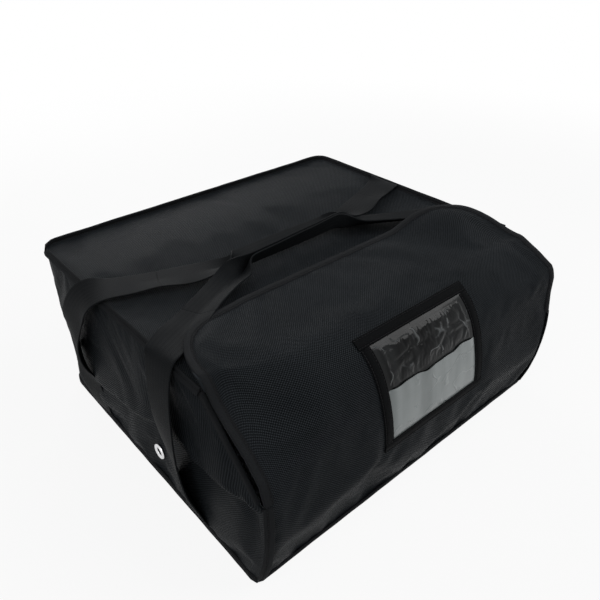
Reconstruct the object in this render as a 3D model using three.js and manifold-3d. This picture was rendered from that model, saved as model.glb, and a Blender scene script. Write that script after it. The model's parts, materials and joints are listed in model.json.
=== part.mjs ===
// A soft insulated bag that carries flat food boxes. The walls are fabric, foam and a liner.
// The front panel is sewn to the side panels up to its hinge line and goes on from there as a
// flap, which turns over a rounded knee and lies on the top. Two webbing straps run from the
// base seam up each side and over the top, where each is folded into a narrow grip.
// Millimetres, X to the right, the front towards -Y, Z up, origin under the middle of the base.
import * as THREE from 'three';
import { mergeVertices } from 'three/addons/utils/BufferGeometryUtils.js';
import Module from 'manifold-3d';

const wasm = await Module();
wasm.setup();

// The box of the bag, without its straps
const bagWidth = 510;
const bagDepth = 460;
const bagHeight = 233;

// The layers of a wall, from the outside in
const fabricThick = 0.8;
const foamThick = 6;
const linerThick = 0.6;
const boardThick = 2.4;
const layerGap = 0.3;

// The front panel and the flap: where they bulge, bend and end
const bellyReach = 32;
const bellyHeightShare = 0.5;
const kneeStartReach = 16;
const kneeStartHeight = 172;
const kneeRun = 61;
const hingeHeight = 143;
const hingeGap = 0.6;
const mouthDepth = 73;
const flapReach = 162;
const flapSideClearance = 3;
const flapCornerRadius = 120;
const curveStep = 13;
const flapCornerSteps = 10;
const searchRounds = 40;

// Bound seams
const bindingWidth = 11;
const bindingThick = 2.4;
const edgeBindingThick = 5;
const baseBindingHeight = 12;
const topBindingRise = 2;

// Hook and loop tape that holds the flap down
const tapeThick = 1.2;
const tapeWidth = 50;
const tapeLength = 380;
const tapeFrontGap = 22;

// The window pocket
const pocketWidth = 181;
const pocketBelowHinge = 45;
const pocketFrameWidth = 14;
const pocketFrameThick = 1.2;
const pocketFilmThick = 0.5;

// Vent eyelets
const eyeletFlangeRadius = 13;
const eyeletBarrelRadius = 7;
const eyeletBoreRadius = 5.2;
const eyeletFlangeThick = 1.3;
const eyeletLipRadius = 8.6;
const eyeletAheadOfMiddle = 35;
const eyeletHeight = 49;
const washerRadius = 11.5;
const washerThick = 1;
const eyeletSides = 24;

// Webbing straps
const webbingWidth = 50;
const webbingThick = 2;
const gripWidth = 25;
const gripThick = 4.2;
const frontStrapTopY = -79;
const frontStrapBaseY = -114;
const rearStrapTopY = 67;
const rearStrapBaseY = 138;
const frontStrapSlack = 13;
const rearStrapSlack = 17;
const strapBowPower = 0.8;
const strapTwistDegrees = 16;
const gripLeanDegrees = 62;
const frontGripY = -5;
const rearGripY = 20;

// How far a cutting solid runs past what it cuts
const overrun = 20;

// Places worked out from the sizes above
const halfWidth = bagWidth / 2;
const halfDepth = bagDepth / 2;
const foamDepth = fabricThick + layerGap;
const linerDepth = foamDepth + foamThick + layerGap;
const wallThick = linerDepth + linerThick;
const wallFoot = fabricThick + layerGap;
const mouthRearY = -halfDepth + mouthDepth;
const flapWidth = bagWidth - 2 * flapSideClearance;
const flapTopHeight = bagHeight + 3 * layerGap + 2 * tapeThick + wallThick;
const flapRearY = -halfDepth + flapReach;
const layers = [
  { name: 'shell', depth: 0, thick: fabricThick },
  { name: 'foam', depth: foamDepth, thick: foamThick },
  { name: 'liner', depth: linerDepth, thick: linerThick },
];
const sides = [
  { name: 'left', sign: -1 },
  { name: 'right', sign: 1 },
];

const finishes = {
  shell: { color: 0x17181b, roughness: 0.62, metalness: 0 },
  foam: { color: 0xb9bcc0, roughness: 0.9, metalness: 0 },
  liner: { color: 0x9da3a8, roughness: 0.35, metalness: 0 },
  board: { color: 0x2c2e31, roughness: 0.7, metalness: 0 },
  binding: { color: 0x0f1012, roughness: 0.85, metalness: 0 },
  webbing: { color: 0x131417, roughness: 0.7, metalness: 0 },
  tape: { color: 0x0c0d0f, roughness: 0.95, metalness: 0 },
  film: { color: 0x8d9794, roughness: 0.12, metalness: 0 },
  eyelet: { color: 0xc4c6c9, roughness: 0.28, metalness: 0.9 },
};

const bag = new THREE.Group();
const bodies = {};
for (const name of ['bagBody', 'flapFront', 'flapTop', 'frontHandle', 'rearHandle']) {
  bodies[name] = new THREE.Group();
  bag.add(bodies[name]);
}

function addPart(body, name, finish, geometry) {
  const mesh = new THREE.Mesh(geometry, new THREE.MeshStandardMaterial(finishes[finish]));
  mesh.name = name;
  bodies[body].add(mesh);
  return mesh;
}

// A plate between two corners, placed by its middle
function addPlate(body, name, finish, low, high) {
  const size = high.map((value, axis) => value - low[axis]);
  const middle = high.map((value, axis) => (value + low[axis]) / 2);
  const mesh = addPart(body, name, finish, new THREE.BoxGeometry(...size));
  mesh.position.set(...middle);
  return mesh;
}

function toSolid(geometry) {
  const bare = geometry.clone();
  bare.deleteAttribute('normal');
  bare.deleteAttribute('uv');
  const merged = mergeVertices(bare);
  const mesh = new wasm.Mesh({
    numProp: 3,
    vertProperties: new Float32Array(merged.attributes.position.array),
    triVerts: new Uint32Array(merged.index.array),
  });
  return new wasm.Manifold(mesh);
}

function toGeometry(solid) {
  const mesh = solid.getMesh();
  const geometry = new THREE.BufferGeometry();
  geometry.setAttribute('position', new THREE.BufferAttribute(mesh.vertProperties, 3));
  geometry.setIndex(new THREE.BufferAttribute(mesh.triVerts, 1));
  geometry.computeVertexNormals();
  return geometry;
}

// Extrudes an outline drawn in Y and Z across the bag, from one X to another
function extrudeAcross(points, lowX, highX) {
  const shape = new THREE.Shape(points);
  const geometry = new THREE.ExtrudeGeometry(shape, { depth: highX - lowX, bevelEnabled: false });
  const turn = new THREE.Matrix4().makeBasis(
    new THREE.Vector3(0, 1, 0),
    new THREE.Vector3(0, 0, 1),
    new THREE.Vector3(1, 0, 0),
  );
  geometry.applyMatrix4(turn);
  geometry.translate(lowX, 0, 0);
  return geometry;
}

// The X range of a layer that lies a depth inside one side of the bag
function sideRange(side, depth, thick) {
  const outer = side.sign * (halfWidth - depth);
  const inner = side.sign * (halfWidth - depth - thick);
  return [Math.min(outer, inner), Math.max(outer, inner)];
}

// The outer line of the front and the flap in Y and Z, from the base up and over the knee
const baseEdge = new THREE.Vector2(-halfDepth, 0);
const bellyPoint = new THREE.Vector2(-halfDepth - bellyReach, kneeStartHeight * bellyHeightShare);
const kneeStart = new THREE.Vector2(-halfDepth - kneeStartReach, kneeStartHeight);
const kneeSlope = (kneeStart.x - bellyPoint.x) / (kneeStart.y - bellyPoint.y);
const kneeCorner = new THREE.Vector2(
  kneeStart.x + kneeSlope * (flapTopHeight - kneeStartHeight),
  flapTopHeight,
);
const kneeEnd = new THREE.Vector2(kneeStart.x + kneeRun, flapTopHeight);
const flapRear = new THREE.Vector2(flapRearY, flapTopHeight);
const frontLine = new THREE.CurvePath();
frontLine.add(new THREE.QuadraticBezierCurve(baseEdge, bellyPoint, kneeStart));
frontLine.add(new THREE.QuadraticBezierCurve(kneeStart, kneeCorner, kneeEnd));
frontLine.add(new THREE.LineCurve(kneeEnd, flapRear));
const [kneeStartLength, kneeEndLength, flapLength] = frontLine.getCurveLengths();
const kneeLength = (kneeStartLength + kneeEndLength) / 2;

// A point a length along the outer line, set a depth inside it
function linePoint(length, depth) {
  const share = Math.min(length / flapLength, 1);
  const point = frontLine.getPoint(share);
  const tangent = frontLine.getTangent(share);
  return new THREE.Vector2(point.x + tangent.y * depth, point.y - tangent.x * depth);
}

// The length along the line where it first reaches a height
function lengthAtHeight(height, depth) {
  let low = 0;
  let high = kneeEndLength;
  for (let round = 0; round < searchRounds; round += 1) {
    const middle = (low + high) / 2;
    if (linePoint(middle, depth).y < height) {
      low = middle;
    } else {
      high = middle;
    }
  }
  return low;
}

function lineStations(from, to) {
  const lengths = [from];
  const curvedEnd = Math.min(to, kneeEndLength);
  const steps = Math.max(1, Math.round((curvedEnd - from) / curveStep));
  for (let step = 1; step < steps; step += 1) {
    lengths.push(from + ((curvedEnd - from) * step) / steps);
  }
  if (curvedEnd < to) {
    lengths.push(curvedEnd);
  }
  lengths.push(to);
  return lengths;
}

// A sheet that follows the outer line between two lengths and two depths
function lineSheet(from, to, depth, thick, lowX, highX) {
  const lengths = lineStations(from, to);
  const outer = lengths.map((length) => linePoint(length, depth));
  const inner = lengths.map((length) => linePoint(length, depth + thick));
  return extrudeAcross([...outer.reverse(), ...inner], lowX, highX);
}

const hingeLength = lengthAtHeight(hingeHeight, 0);
const hingeTopOfFront = hingeLength - hingeGap / 2;
const hingeFootOfFlap = hingeLength + hingeGap / 2;
const kneeEndOfFront = kneeLength - hingeGap / 2;
const kneeStartOfTop = kneeLength + hingeGap / 2;

// The sloped mouth edge of a side panel, behind the flap
const mouthFoot = linePoint(hingeLength, wallThick + 2 * layerGap);
const mouthTop = new THREE.Vector2(mouthRearY, bagHeight - wallThick);
const mouthFootHeight = hingeHeight - layerGap;
function mouthEdgeY(height, inset) {
  const run = mouthTop.x - mouthFoot.x;
  const rise = mouthTop.y - mouthFootHeight;
  const across = (inset * Math.hypot(run, rise)) / rise;
  return mouthFoot.x + ((height - mouthFootHeight) * run) / rise + across;
}

// The outline of a side panel's layer, set in from the bag's outside by its depth
function sideOutline(depth) {
  const inset = bindingWidth + layerGap;
  const top = bagHeight - depth;
  const footLength = lengthAtHeight(wallFoot, depth);
  const headLength = lengthAtHeight(mouthFootHeight, depth);
  const front = lineStations(footLength, headLength).map((length) => linePoint(length, depth));
  return [
    new THREE.Vector2(halfDepth - depth, wallFoot),
    new THREE.Vector2(halfDepth - depth, top),
    new THREE.Vector2(mouthEdgeY(top, inset), top),
    new THREE.Vector2(mouthEdgeY(mouthFootHeight, inset), mouthFootHeight),
    ...front.reverse(),
  ];
}

// How far a wall that stands between the side panels reaches from the middle
function crossReach(layer) {
  return halfWidth - layer.depth - layer.thick - layerGap;
}

function addBase() {
  const reachX = halfWidth - wallThick - layerGap;
  const reachY = halfDepth - wallThick - layerGap;
  addPlate(
    'bagBody',
    'bottom_shell',
    'shell',
    [-halfWidth, -halfDepth, 0],
    [halfWidth, halfDepth, fabricThick],
  );
  let foot = wallFoot;
  const stack = [
    ['base_board', 'board', boardThick],
    ['bottom_foam', 'foam', foamThick],
    ['bottom_liner', 'liner', linerThick],
  ];
  for (const [name, finish, thick] of stack) {
    addPlate('bagBody', name, finish, [-reachX, -reachY, foot], [reachX, reachY, foot + thick]);
    foot += thick + layerGap;
  }
}

function addSideWalls() {
  const holeLength = wallThick + 2 * overrun;
  for (const side of sides) {
    const hole = new THREE.CylinderGeometry(
      eyeletBarrelRadius + layerGap,
      eyeletBarrelRadius + layerGap,
      holeLength,
      eyeletSides,
    );
    hole.rotateZ(Math.PI / 2);
    hole.translate(side.sign * halfWidth, -eyeletAheadOfMiddle, eyeletHeight);
    for (const layer of layers) {
      const [lowX, highX] = sideRange(side, layer.depth, layer.thick);
      const panel = toSolid(extrudeAcross(sideOutline(layer.depth), lowX, highX));
      const pierced = toGeometry(panel.subtract(toSolid(hole)));
      addPart('bagBody', `${side.name}_${layer.name}`, layer.name, pierced);
    }
  }
}

function addBackTopAndFront() {
  for (const layer of layers) {
    const reach = crossReach(layer);
    const outside = layer.depth;
    const inside = layer.depth + layer.thick;
    const top = bagHeight - outside;
    addPlate(
      'bagBody',
      `back_${layer.name}`,
      layer.name,
      [-reach, halfDepth - inside, wallFoot],
      [reach, halfDepth - outside, top],
    );
    addPlate(
      'bagBody',
      `top_${layer.name}`,
      layer.name,
      [-reach, mouthRearY + bindingWidth + layerGap, bagHeight - inside],
      [reach, halfDepth - inside - layerGap, top],
    );
    const foot = lengthAtHeight(wallFoot, outside);
    const sheet = lineSheet(foot, hingeTopOfFront, outside, layer.thick, -reach, reach);
    addPart('bagBody', `front_${layer.name}`, layer.name, sheet);
  }
}

// Bound seams at the base, stood up against the walls
function addBaseBindings() {
  const near = halfWidth + layerGap;
  const far = near + bindingThick;
  for (const side of sides) {
    const low = [Math.min(side.sign * near, side.sign * far), -halfDepth, 0];
    const high = [Math.max(side.sign * near, side.sign * far), halfDepth, baseBindingHeight];
    addPlate('bagBody', `base_binding_${side.name}`, 'binding', low, high);
  }
  const backY = halfDepth + layerGap;
  addPlate(
    'bagBody',
    'base_binding_back',
    'binding',
    [-far, backY, 0],
    [far, backY + bindingThick, baseBindingHeight],
  );
  const depth = -layerGap - bindingThick;
  const foot = lengthAtHeight(0, depth);
  const head = lengthAtHeight(baseBindingHeight, 0);
  const front = lineSheet(foot, head, depth, bindingThick, -halfWidth, halfWidth);
  addPart('bagBody', 'base_binding_front', 'binding', front);
}

// One binding round the left, back and right edges of the top, stood up along them
function addTopBinding() {
  const near = halfWidth + layerGap;
  const far = near + bindingThick;
  const nearBack = halfDepth + layerGap;
  const farBack = nearBack + bindingThick;
  const outline = new THREE.Shape();
  outline.moveTo(-far, mouthRearY);
  outline.lineTo(-near, mouthRearY);
  outline.lineTo(-near, nearBack);
  outline.lineTo(near, nearBack);
  outline.lineTo(near, mouthRearY);
  outline.lineTo(far, mouthRearY);
  outline.lineTo(far, farBack);
  outline.lineTo(-far, farBack);
  outline.closePath();
  const geometry = new THREE.ExtrudeGeometry(outline, { depth: bindingWidth, bevelEnabled: false });
  const mesh = addPart('bagBody', 'top_binding', 'binding', geometry);
  mesh.position.z = bagHeight + topBindingRise - bindingWidth;
}

function addCornerBindings() {
  const foot = baseBindingHeight + layerGap;
  const footLength = lengthAtHeight(foot, 0);
  const headLength = hingeTopOfFront - 2 * layerGap;
  const backY = halfDepth + layerGap;
  const backTop = bagHeight + topBindingRise - bindingWidth - layerGap;
  for (const side of sides) {
    const [lowX, highX] = sideRange(side, 0, bindingWidth);
    const depth = -layerGap - bindingThick;
    const strip = lineSheet(footLength, headLength, depth, bindingThick, lowX, highX);
    addPart('bagBody', `front_seam_binding_${side.name}`, 'binding', strip);
    addPlate(
      'bagBody',
      `back_seam_binding_${side.name}`,
      'binding',
      [lowX, backY, foot],
      [highX, backY + bindingThick, backTop],
    );
  }
}

// Bindings round the mouth: the sloped edges of the sides and the front edge of the top
function addMouthBindings() {
  const head = mouthTop.y - layerGap;
  for (const side of sides) {
    const [lowX, highX] = sideRange(side, 0, wallThick);
    const outline = [
      new THREE.Vector2(mouthEdgeY(mouthFootHeight, 0), mouthFootHeight),
      new THREE.Vector2(mouthEdgeY(mouthFootHeight, bindingWidth), mouthFootHeight),
      new THREE.Vector2(mouthEdgeY(head, bindingWidth), head),
      new THREE.Vector2(mouthEdgeY(head, 0), head),
    ];
    const strip = extrudeAcross(outline, lowX, highX);
    addPart('bagBody', `mouth_binding_${side.name}`, 'binding', strip);
  }
  addPlate(
    'bagBody',
    'mouth_binding_top',
    'binding',
    [-halfWidth, mouthRearY, mouthTop.y],
    [halfWidth, mouthRearY + bindingWidth, bagHeight],
  );
}

// The plan of the flap with rounded rear corners, set in by an amount, as an upright prism
function flapPlan(inset) {
  const reach = flapWidth / 2 - inset;
  const rear = flapRearY - inset;
  const radius = flapCornerRadius - inset;
  const front = -halfDepth - bellyReach - overrun;
  const plan = new THREE.Shape();
  plan.moveTo(-reach, front);
  plan.lineTo(reach, front);
  plan.lineTo(reach, rear - radius);
  plan.absarc(reach - radius, rear - radius, radius, 0, Math.PI / 2, false);
  plan.absarc(-reach + radius, rear - radius, radius, Math.PI / 2, Math.PI, false);
  plan.closePath();
  const geometry = new THREE.ExtrudeGeometry(plan, {
    depth: bagHeight,
    bevelEnabled: false,
    curveSegments: flapCornerSteps,
  });
  geometry.translate(0, 0, kneeStartHeight);
  return toSolid(geometry);
}

function addFlap() {
  const reach = flapWidth / 2;
  const clear = reach - bindingWidth - layerGap;
  const layerPlan = flapPlan(bindingWidth + layerGap);
  for (const layer of layers) {
    const upright = lineSheet(hingeFootOfFlap, kneeEndOfFront, layer.depth, layer.thick, -clear, clear);
    addPart('flapFront', `flap_front_${layer.name}`, layer.name, upright);
    const lying = toSolid(lineSheet(kneeStartOfTop, flapLength, layer.depth, layer.thick, -clear, clear));
    addPart('flapTop', `flap_top_${layer.name}`, layer.name, toGeometry(lying.intersect(layerPlan)));
  }
  const depth = (wallThick - edgeBindingThick) / 2;
  for (const side of sides) {
    const lowX = Math.min(side.sign * reach, side.sign * (reach - bindingWidth));
    const strip = lineSheet(
      hingeFootOfFlap,
      kneeEndOfFront,
      depth,
      edgeBindingThick,
      lowX,
      lowX + bindingWidth,
    );
    addPart('flapFront', `flap_front_binding_${side.name}`, 'binding', strip);
  }
  const rim = toSolid(lineSheet(kneeStartOfTop, flapLength, depth, edgeBindingThick, -reach, reach));
  const bound = rim.intersect(flapPlan(0)).subtract(flapPlan(bindingWidth));
  addPart('flapTop', 'flap_top_binding', 'binding', toGeometry(bound));
}

function addTapes() {
  const reach = tapeLength / 2;
  const front = mouthRearY + tapeFrontGap;
  const loopFoot = bagHeight + layerGap;
  const hookFoot = loopFoot + tapeThick + layerGap;
  addPlate(
    'bagBody',
    'loop_tape',
    'tape',
    [-reach, front, loopFoot],
    [reach, front + tapeWidth, loopFoot + tapeThick],
  );
  addPlate(
    'flapTop',
    'hook_tape',
    'tape',
    [-reach, front, hookFoot],
    [reach, front + tapeWidth, hookFoot + tapeThick],
  );
}

function addPocket() {
  const reach = pocketWidth / 2;
  const filmReach = reach - pocketFrameWidth - layerGap;
  const frameDepth = -layerGap - pocketFrameThick;
  const filmDepth = -layerGap - pocketFilmThick;
  const foot = lengthAtHeight(hingeHeight - pocketBelowHinge, 0);
  const frame = toSolid(
    lineSheet(foot, hingeTopOfFront, frameDepth, pocketFrameThick, -reach, reach),
  );
  const window = toSolid(
    lineSheet(
      foot + pocketFrameWidth,
      hingeTopOfFront + overrun,
      frameDepth - overrun / 2,
      overrun,
      -reach + pocketFrameWidth,
      reach - pocketFrameWidth,
    ),
  );
  addPart('bagBody', 'pocket_frame_lower', 'binding', toGeometry(frame.subtract(window)));
  addPart(
    'bagBody',
    'pocket_film_lower',
    'film',
    lineSheet(
      foot + pocketFrameWidth + layerGap,
      hingeTopOfFront,
      filmDepth,
      pocketFilmThick,
      -filmReach,
      filmReach,
    ),
  );
  addPart(
    'flapFront',
    'pocket_film_upper',
    'film',
    lineSheet(hingeFootOfFlap, kneeEndOfFront, filmDepth, pocketFilmThick, -filmReach, filmReach),
  );
  for (const side of sides) {
    const lowX = Math.min(side.sign * reach, side.sign * (reach - pocketFrameWidth));
    const strip = lineSheet(
      hingeFootOfFlap,
      kneeEndOfFront,
      frameDepth,
      pocketFrameThick,
      lowX,
      lowX + pocketFrameWidth,
    );
    addPart('flapFront', `pocket_frame_${side.name}`, 'binding', strip);
  }
  const head = lineSheet(
    kneeStartOfTop,
    kneeStartOfTop + pocketFrameWidth,
    frameDepth,
    pocketFrameThick,
    -reach,
    reach,
  );
  addPart('flapTop', 'pocket_frame_top', 'binding', head);
}

// Turns a profile of radius and height about the X axis and sets it on a side wall
function turnedOnSide(side, profile) {
  const points = [...profile, profile[0]].map(([radius, along]) => new THREE.Vector2(radius, along));
  const geometry = new THREE.LatheGeometry(points, eyeletSides);
  geometry.rotateZ((-side.sign * Math.PI) / 2);
  geometry.translate(side.sign * halfWidth, -eyeletAheadOfMiddle, eyeletHeight);
  return geometry;
}

function addEyelets() {
  const flangeNear = layerGap;
  const flangeFar = flangeNear + eyeletFlangeThick;
  const washerNear = -wallThick - layerGap;
  const washerFar = washerNear - washerThick;
  const lipNear = washerFar - layerGap;
  const lipFar = lipNear - washerThick;
  const eyelet = [
    [eyeletBoreRadius, lipFar],
    [eyeletLipRadius, lipFar],
    [eyeletLipRadius, lipNear],
    [eyeletBarrelRadius, lipNear],
    [eyeletBarrelRadius, flangeNear],
    [eyeletFlangeRadius, flangeNear],
    [eyeletFlangeRadius, flangeFar - eyeletFlangeThick / 2],
    [(eyeletFlangeRadius + eyeletBarrelRadius) / 2, flangeFar],
    [eyeletBoreRadius, flangeFar - eyeletFlangeThick / 2],
  ];
  const washer = [
    [eyeletBarrelRadius + layerGap, washerFar],
    [washerRadius, washerFar],
    [washerRadius, washerNear],
    [eyeletBarrelRadius + layerGap, washerNear],
  ];
  for (const side of sides) {
    addPart('bagBody', `eyelet_${side.name}`, 'eyelet', turnedOnSide(side, eyelet));
    addPart('bagBody', `eyelet_washer_${side.name}`, 'eyelet', turnedOnSide(side, washer));
  }
}

// A strip of webbing through stations, each with a middle, a direction across and a section
function ribbon(stations, travel) {
  const positions = [];
  for (const { middle, across, width, thick } of stations) {
    const normal = travel.clone().cross(across);
    for (const [a, n] of [[1, 1], [-1, 1], [-1, -1], [1, -1]]) {
      const corner = middle.clone();
      corner.addScaledVector(across, (a * width) / 2);
      corner.addScaledVector(normal, (n * thick) / 2);
      positions.push(corner.x, corner.y, corner.z);
    }
  }
  const index = [];
  const last = 4 * (stations.length - 1);
  index.push(0, 3, 2, 0, 2, 1);
  index.push(last, last + 1, last + 2, last, last + 2, last + 3);
  for (let start = 0; start < last; start += 4) {
    for (let corner = 0; corner < 4; corner += 1) {
      const here = start + corner;
      const next = start + ((corner + 1) % 4);
      index.push(here, next, next + 4, here, next + 4, here + 4);
    }
  }
  const geometry = new THREE.BufferGeometry();
  geometry.setAttribute('position', new THREE.Float32BufferAttribute(positions, 3));
  geometry.setIndex(index);
  geometry.computeVertexNormals();
  return geometry;
}

// The top end of a side run stands just outside the end of the handle that goes on from it
const handleReach = halfWidth + layerGap + bindingThick + 2 * layerGap;
const handleEndHeight = bagHeight + topBindingRise + 2 * layerGap + webbingThick / 2;
const runEndStandOff = handleReach + layerGap + webbingThick / 2 - halfWidth;

// A strap's run up one side: sewn in above the base binding, slack in the middle
function addSideRun(name, side, baseY, topY, slack) {
  const foot = baseBindingHeight + layerGap;
  const head = handleEndHeight + webbingThick / 2;
  const footStandOff = layerGap + webbingThick / 2;
  const shares = [0, 0.08, 0.22, 0.4, 0.58, 0.76, 0.9, 1];
  const stations = shares.map((share) => {
    const bow = Math.sin(Math.PI * share) ** strapBowPower;
    const twist = THREE.MathUtils.degToRad(strapTwistDegrees) * bow;
    const standOff = THREE.MathUtils.lerp(footStandOff, runEndStandOff, share) + slack * bow;
    return {
      middle: new THREE.Vector3(
        side.sign * (halfWidth + standOff),
        THREE.MathUtils.lerp(baseY, topY, share),
        THREE.MathUtils.lerp(foot, head, share),
      ),
      across: new THREE.Vector3(side.sign * Math.sin(twist), Math.cos(twist), 0),
      width: webbingWidth,
      thick: webbingThick,
    };
  });
  addPart('bagBody', `${name}_${side.name}`, 'webbing', ribbon(stations, new THREE.Vector3(0, 0, 1)));
}

// A handle over the top, from one side's end to the other, the same on both halves
function addHandle(body, name, half) {
  const mirrored = half.map((station) => ({ ...station, x: -station.x })).reverse();
  const stations = [...half, ...mirrored].map(({ x, y, lift, width, thick, lean }) => ({
    middle: new THREE.Vector3(x, y, bagHeight + lift),
    across: new THREE.Vector3(
      0,
      Math.cos(THREE.MathUtils.degToRad(lean)),
      Math.sin(THREE.MathUtils.degToRad(lean)),
    ),
    width,
    thick,
  }));
  addPart(body, name, 'webbing', ribbon(stations, new THREE.Vector3(1, 0, 0)));
}

// How a handle runs from the side to its grip: how far out, how far towards the grip, how far
// it has come down onto the top, how much of the fold is made and how much of its lean
const handleRunShares = [
  { out: 1, along: 0, down: 0, fold: 0, lean: 0 },
  { out: 0.91, along: 0.09, down: 0.45, fold: 0, lean: 0 },
  { out: 0.76, along: 0.36, down: 1, fold: 0, lean: 0 },
  { out: 0.61, along: 0.66, down: 1, fold: 0, lean: 0.05 },
  { out: 0.49, along: 0.86, down: 1, fold: 0.4, lean: 0.35 },
  { out: 0.38, along: 0.96, down: 1, fold: 1, lean: 0.8 },
  { out: 0.28, along: 1, down: 1, fold: 1, lean: 1 },
];

function handleHalf(sideY, gripY, leanDegrees) {
  const endLift = handleEndHeight - bagHeight;
  return handleRunShares.map((share) => {
    const width = THREE.MathUtils.lerp(webbingWidth, gripWidth, share.fold);
    const thick = THREE.MathUtils.lerp(webbingThick, gripThick, share.fold);
    const lean = leanDegrees * share.lean;
    const tilt = THREE.MathUtils.degToRad(lean);
    const rest = (width * Math.sin(tilt) + thick * Math.cos(tilt)) / 2 + 2 * layerGap;
    return {
      x: -handleReach * share.out,
      y: THREE.MathUtils.lerp(sideY, gripY, share.along),
      lift: THREE.MathUtils.lerp(endLift, rest, share.down),
      width,
      thick,
      lean,
    };
  });
}

function addStraps() {
  for (const side of sides) {
    addSideRun('front_strap', side, frontStrapBaseY, frontStrapTopY, frontStrapSlack);
    addSideRun('rear_strap', side, rearStrapBaseY, rearStrapTopY, rearStrapSlack);
  }
  const frontHalf = handleHalf(frontStrapTopY, frontGripY, gripLeanDegrees);
  const rearHalf = handleHalf(rearStrapTopY, rearGripY, 0);
  addHandle('frontHandle', 'front_handle', frontHalf);
  addHandle('rearHandle', 'rear_handle', rearHalf);
}

addBase();
addSideWalls();
addBackTopAndFront();
addBaseBindings();
addTopBinding();
addCornerBindings();
addMouthBindings();
addFlap();
addTapes();
addPocket();
addEyelets();
addStraps();

export default bag;
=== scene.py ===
import json
import math

import bpy
import numpy as np
from mathutils import Matrix, Vector, noise
from mathutils.bvhtree import BVHTree
from mathutils.kdtree import KDTree


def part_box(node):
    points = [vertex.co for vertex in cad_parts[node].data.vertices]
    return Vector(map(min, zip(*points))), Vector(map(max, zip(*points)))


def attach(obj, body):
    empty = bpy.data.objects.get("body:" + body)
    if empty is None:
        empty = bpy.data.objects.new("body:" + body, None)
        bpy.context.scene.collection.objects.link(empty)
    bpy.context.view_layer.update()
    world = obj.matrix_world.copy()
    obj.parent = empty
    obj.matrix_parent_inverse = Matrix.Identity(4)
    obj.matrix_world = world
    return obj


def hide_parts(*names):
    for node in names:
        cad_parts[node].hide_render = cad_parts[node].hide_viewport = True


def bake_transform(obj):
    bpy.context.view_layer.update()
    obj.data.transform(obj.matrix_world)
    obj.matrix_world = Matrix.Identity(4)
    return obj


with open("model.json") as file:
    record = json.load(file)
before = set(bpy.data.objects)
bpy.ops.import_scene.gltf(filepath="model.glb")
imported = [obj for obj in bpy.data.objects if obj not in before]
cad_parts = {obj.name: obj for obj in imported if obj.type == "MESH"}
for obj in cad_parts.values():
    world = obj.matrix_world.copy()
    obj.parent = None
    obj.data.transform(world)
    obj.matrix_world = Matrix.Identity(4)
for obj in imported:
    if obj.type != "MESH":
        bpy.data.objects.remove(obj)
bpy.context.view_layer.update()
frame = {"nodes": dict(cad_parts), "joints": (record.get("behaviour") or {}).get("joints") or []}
print("frame loaded")


# Sizes of the bag that several pieces share, read from the frame
def readBag():
    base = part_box("bottom_shell")[1]
    wallLow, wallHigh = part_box("left_shell")
    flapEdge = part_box("flap_top_binding")[1]
    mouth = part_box("mouth_binding_top")[0]
    joints = {joint["name"]: Vector(joint["pos_m"]) for joint in frame["joints"]}
    return {
        "halfWidth": base.x,
        "halfDepth": base.y,
        "foot": wallLow.z,
        "top": wallHigh.z,
        "flapTop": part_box("flap_top_shell")[1].z,
        "flapRear": flapEdge.y,
        "flapHalf": flapEdge.x,
        "mouthRear": mouth.y,
        "mouthDrop": mouth.z,
        "hinge": joints["flap_lift"],
        "frontTurn": joints["front_handle_lift"],
        "rearTurn": joints["rear_handle_lift"],
    }


bag = readBag()


def lerp(a, b, share):
    return a + (b - a) * share


def ease(value, low, high):
    share = min(1, max(0, (value - low) / (high - low)))
    return share * share * (3 - 2 * share)


def deselectAll():
    if bpy.context.mode != "OBJECT":
        bpy.ops.object.mode_set(mode="OBJECT")
    bpy.ops.object.select_all(action="DESELECT")


def choose(piece):
    deselectAll()
    piece.select_set(True)
    bpy.context.view_layer.objects.active = piece


# The camera stands where the photograph was taken from
cameraSetup = {
    "place": (-0.4734, -0.5566, 0.6273),
    "azimuth": -40.917,
    "down": 33.296,
    "roll": -0.316,
    "lens": 36.68,
    "sensor": 36,
}


def addCamera():
    azimuth = math.radians(cameraSetup["azimuth"])
    down = math.radians(cameraSetup["down"])
    roll = math.radians(cameraSetup["roll"])
    forward = Vector((
        -math.sin(azimuth) * math.cos(down),
        math.cos(azimuth) * math.cos(down),
        -math.sin(down),
    ))
    right = Vector((math.cos(azimuth), math.sin(azimuth), 0))
    up = right.cross(forward)
    turnedRight = right * math.cos(roll) + up * math.sin(roll)
    turnedUp = up * math.cos(roll) - right * math.sin(roll)
    deselectAll()
    bpy.ops.object.camera_add(location=cameraSetup["place"])
    camera = bpy.context.object
    camera.name = "photoCamera"
    camera.data.sensor_width = cameraSetup["sensor"]
    camera.data.lens = cameraSetup["lens"]
    turn = Matrix((turnedRight, turnedUp, -forward)).transposed()
    camera.rotation_euler = turn.to_euler()
    bpy.context.scene.camera = camera


addCamera()


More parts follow.
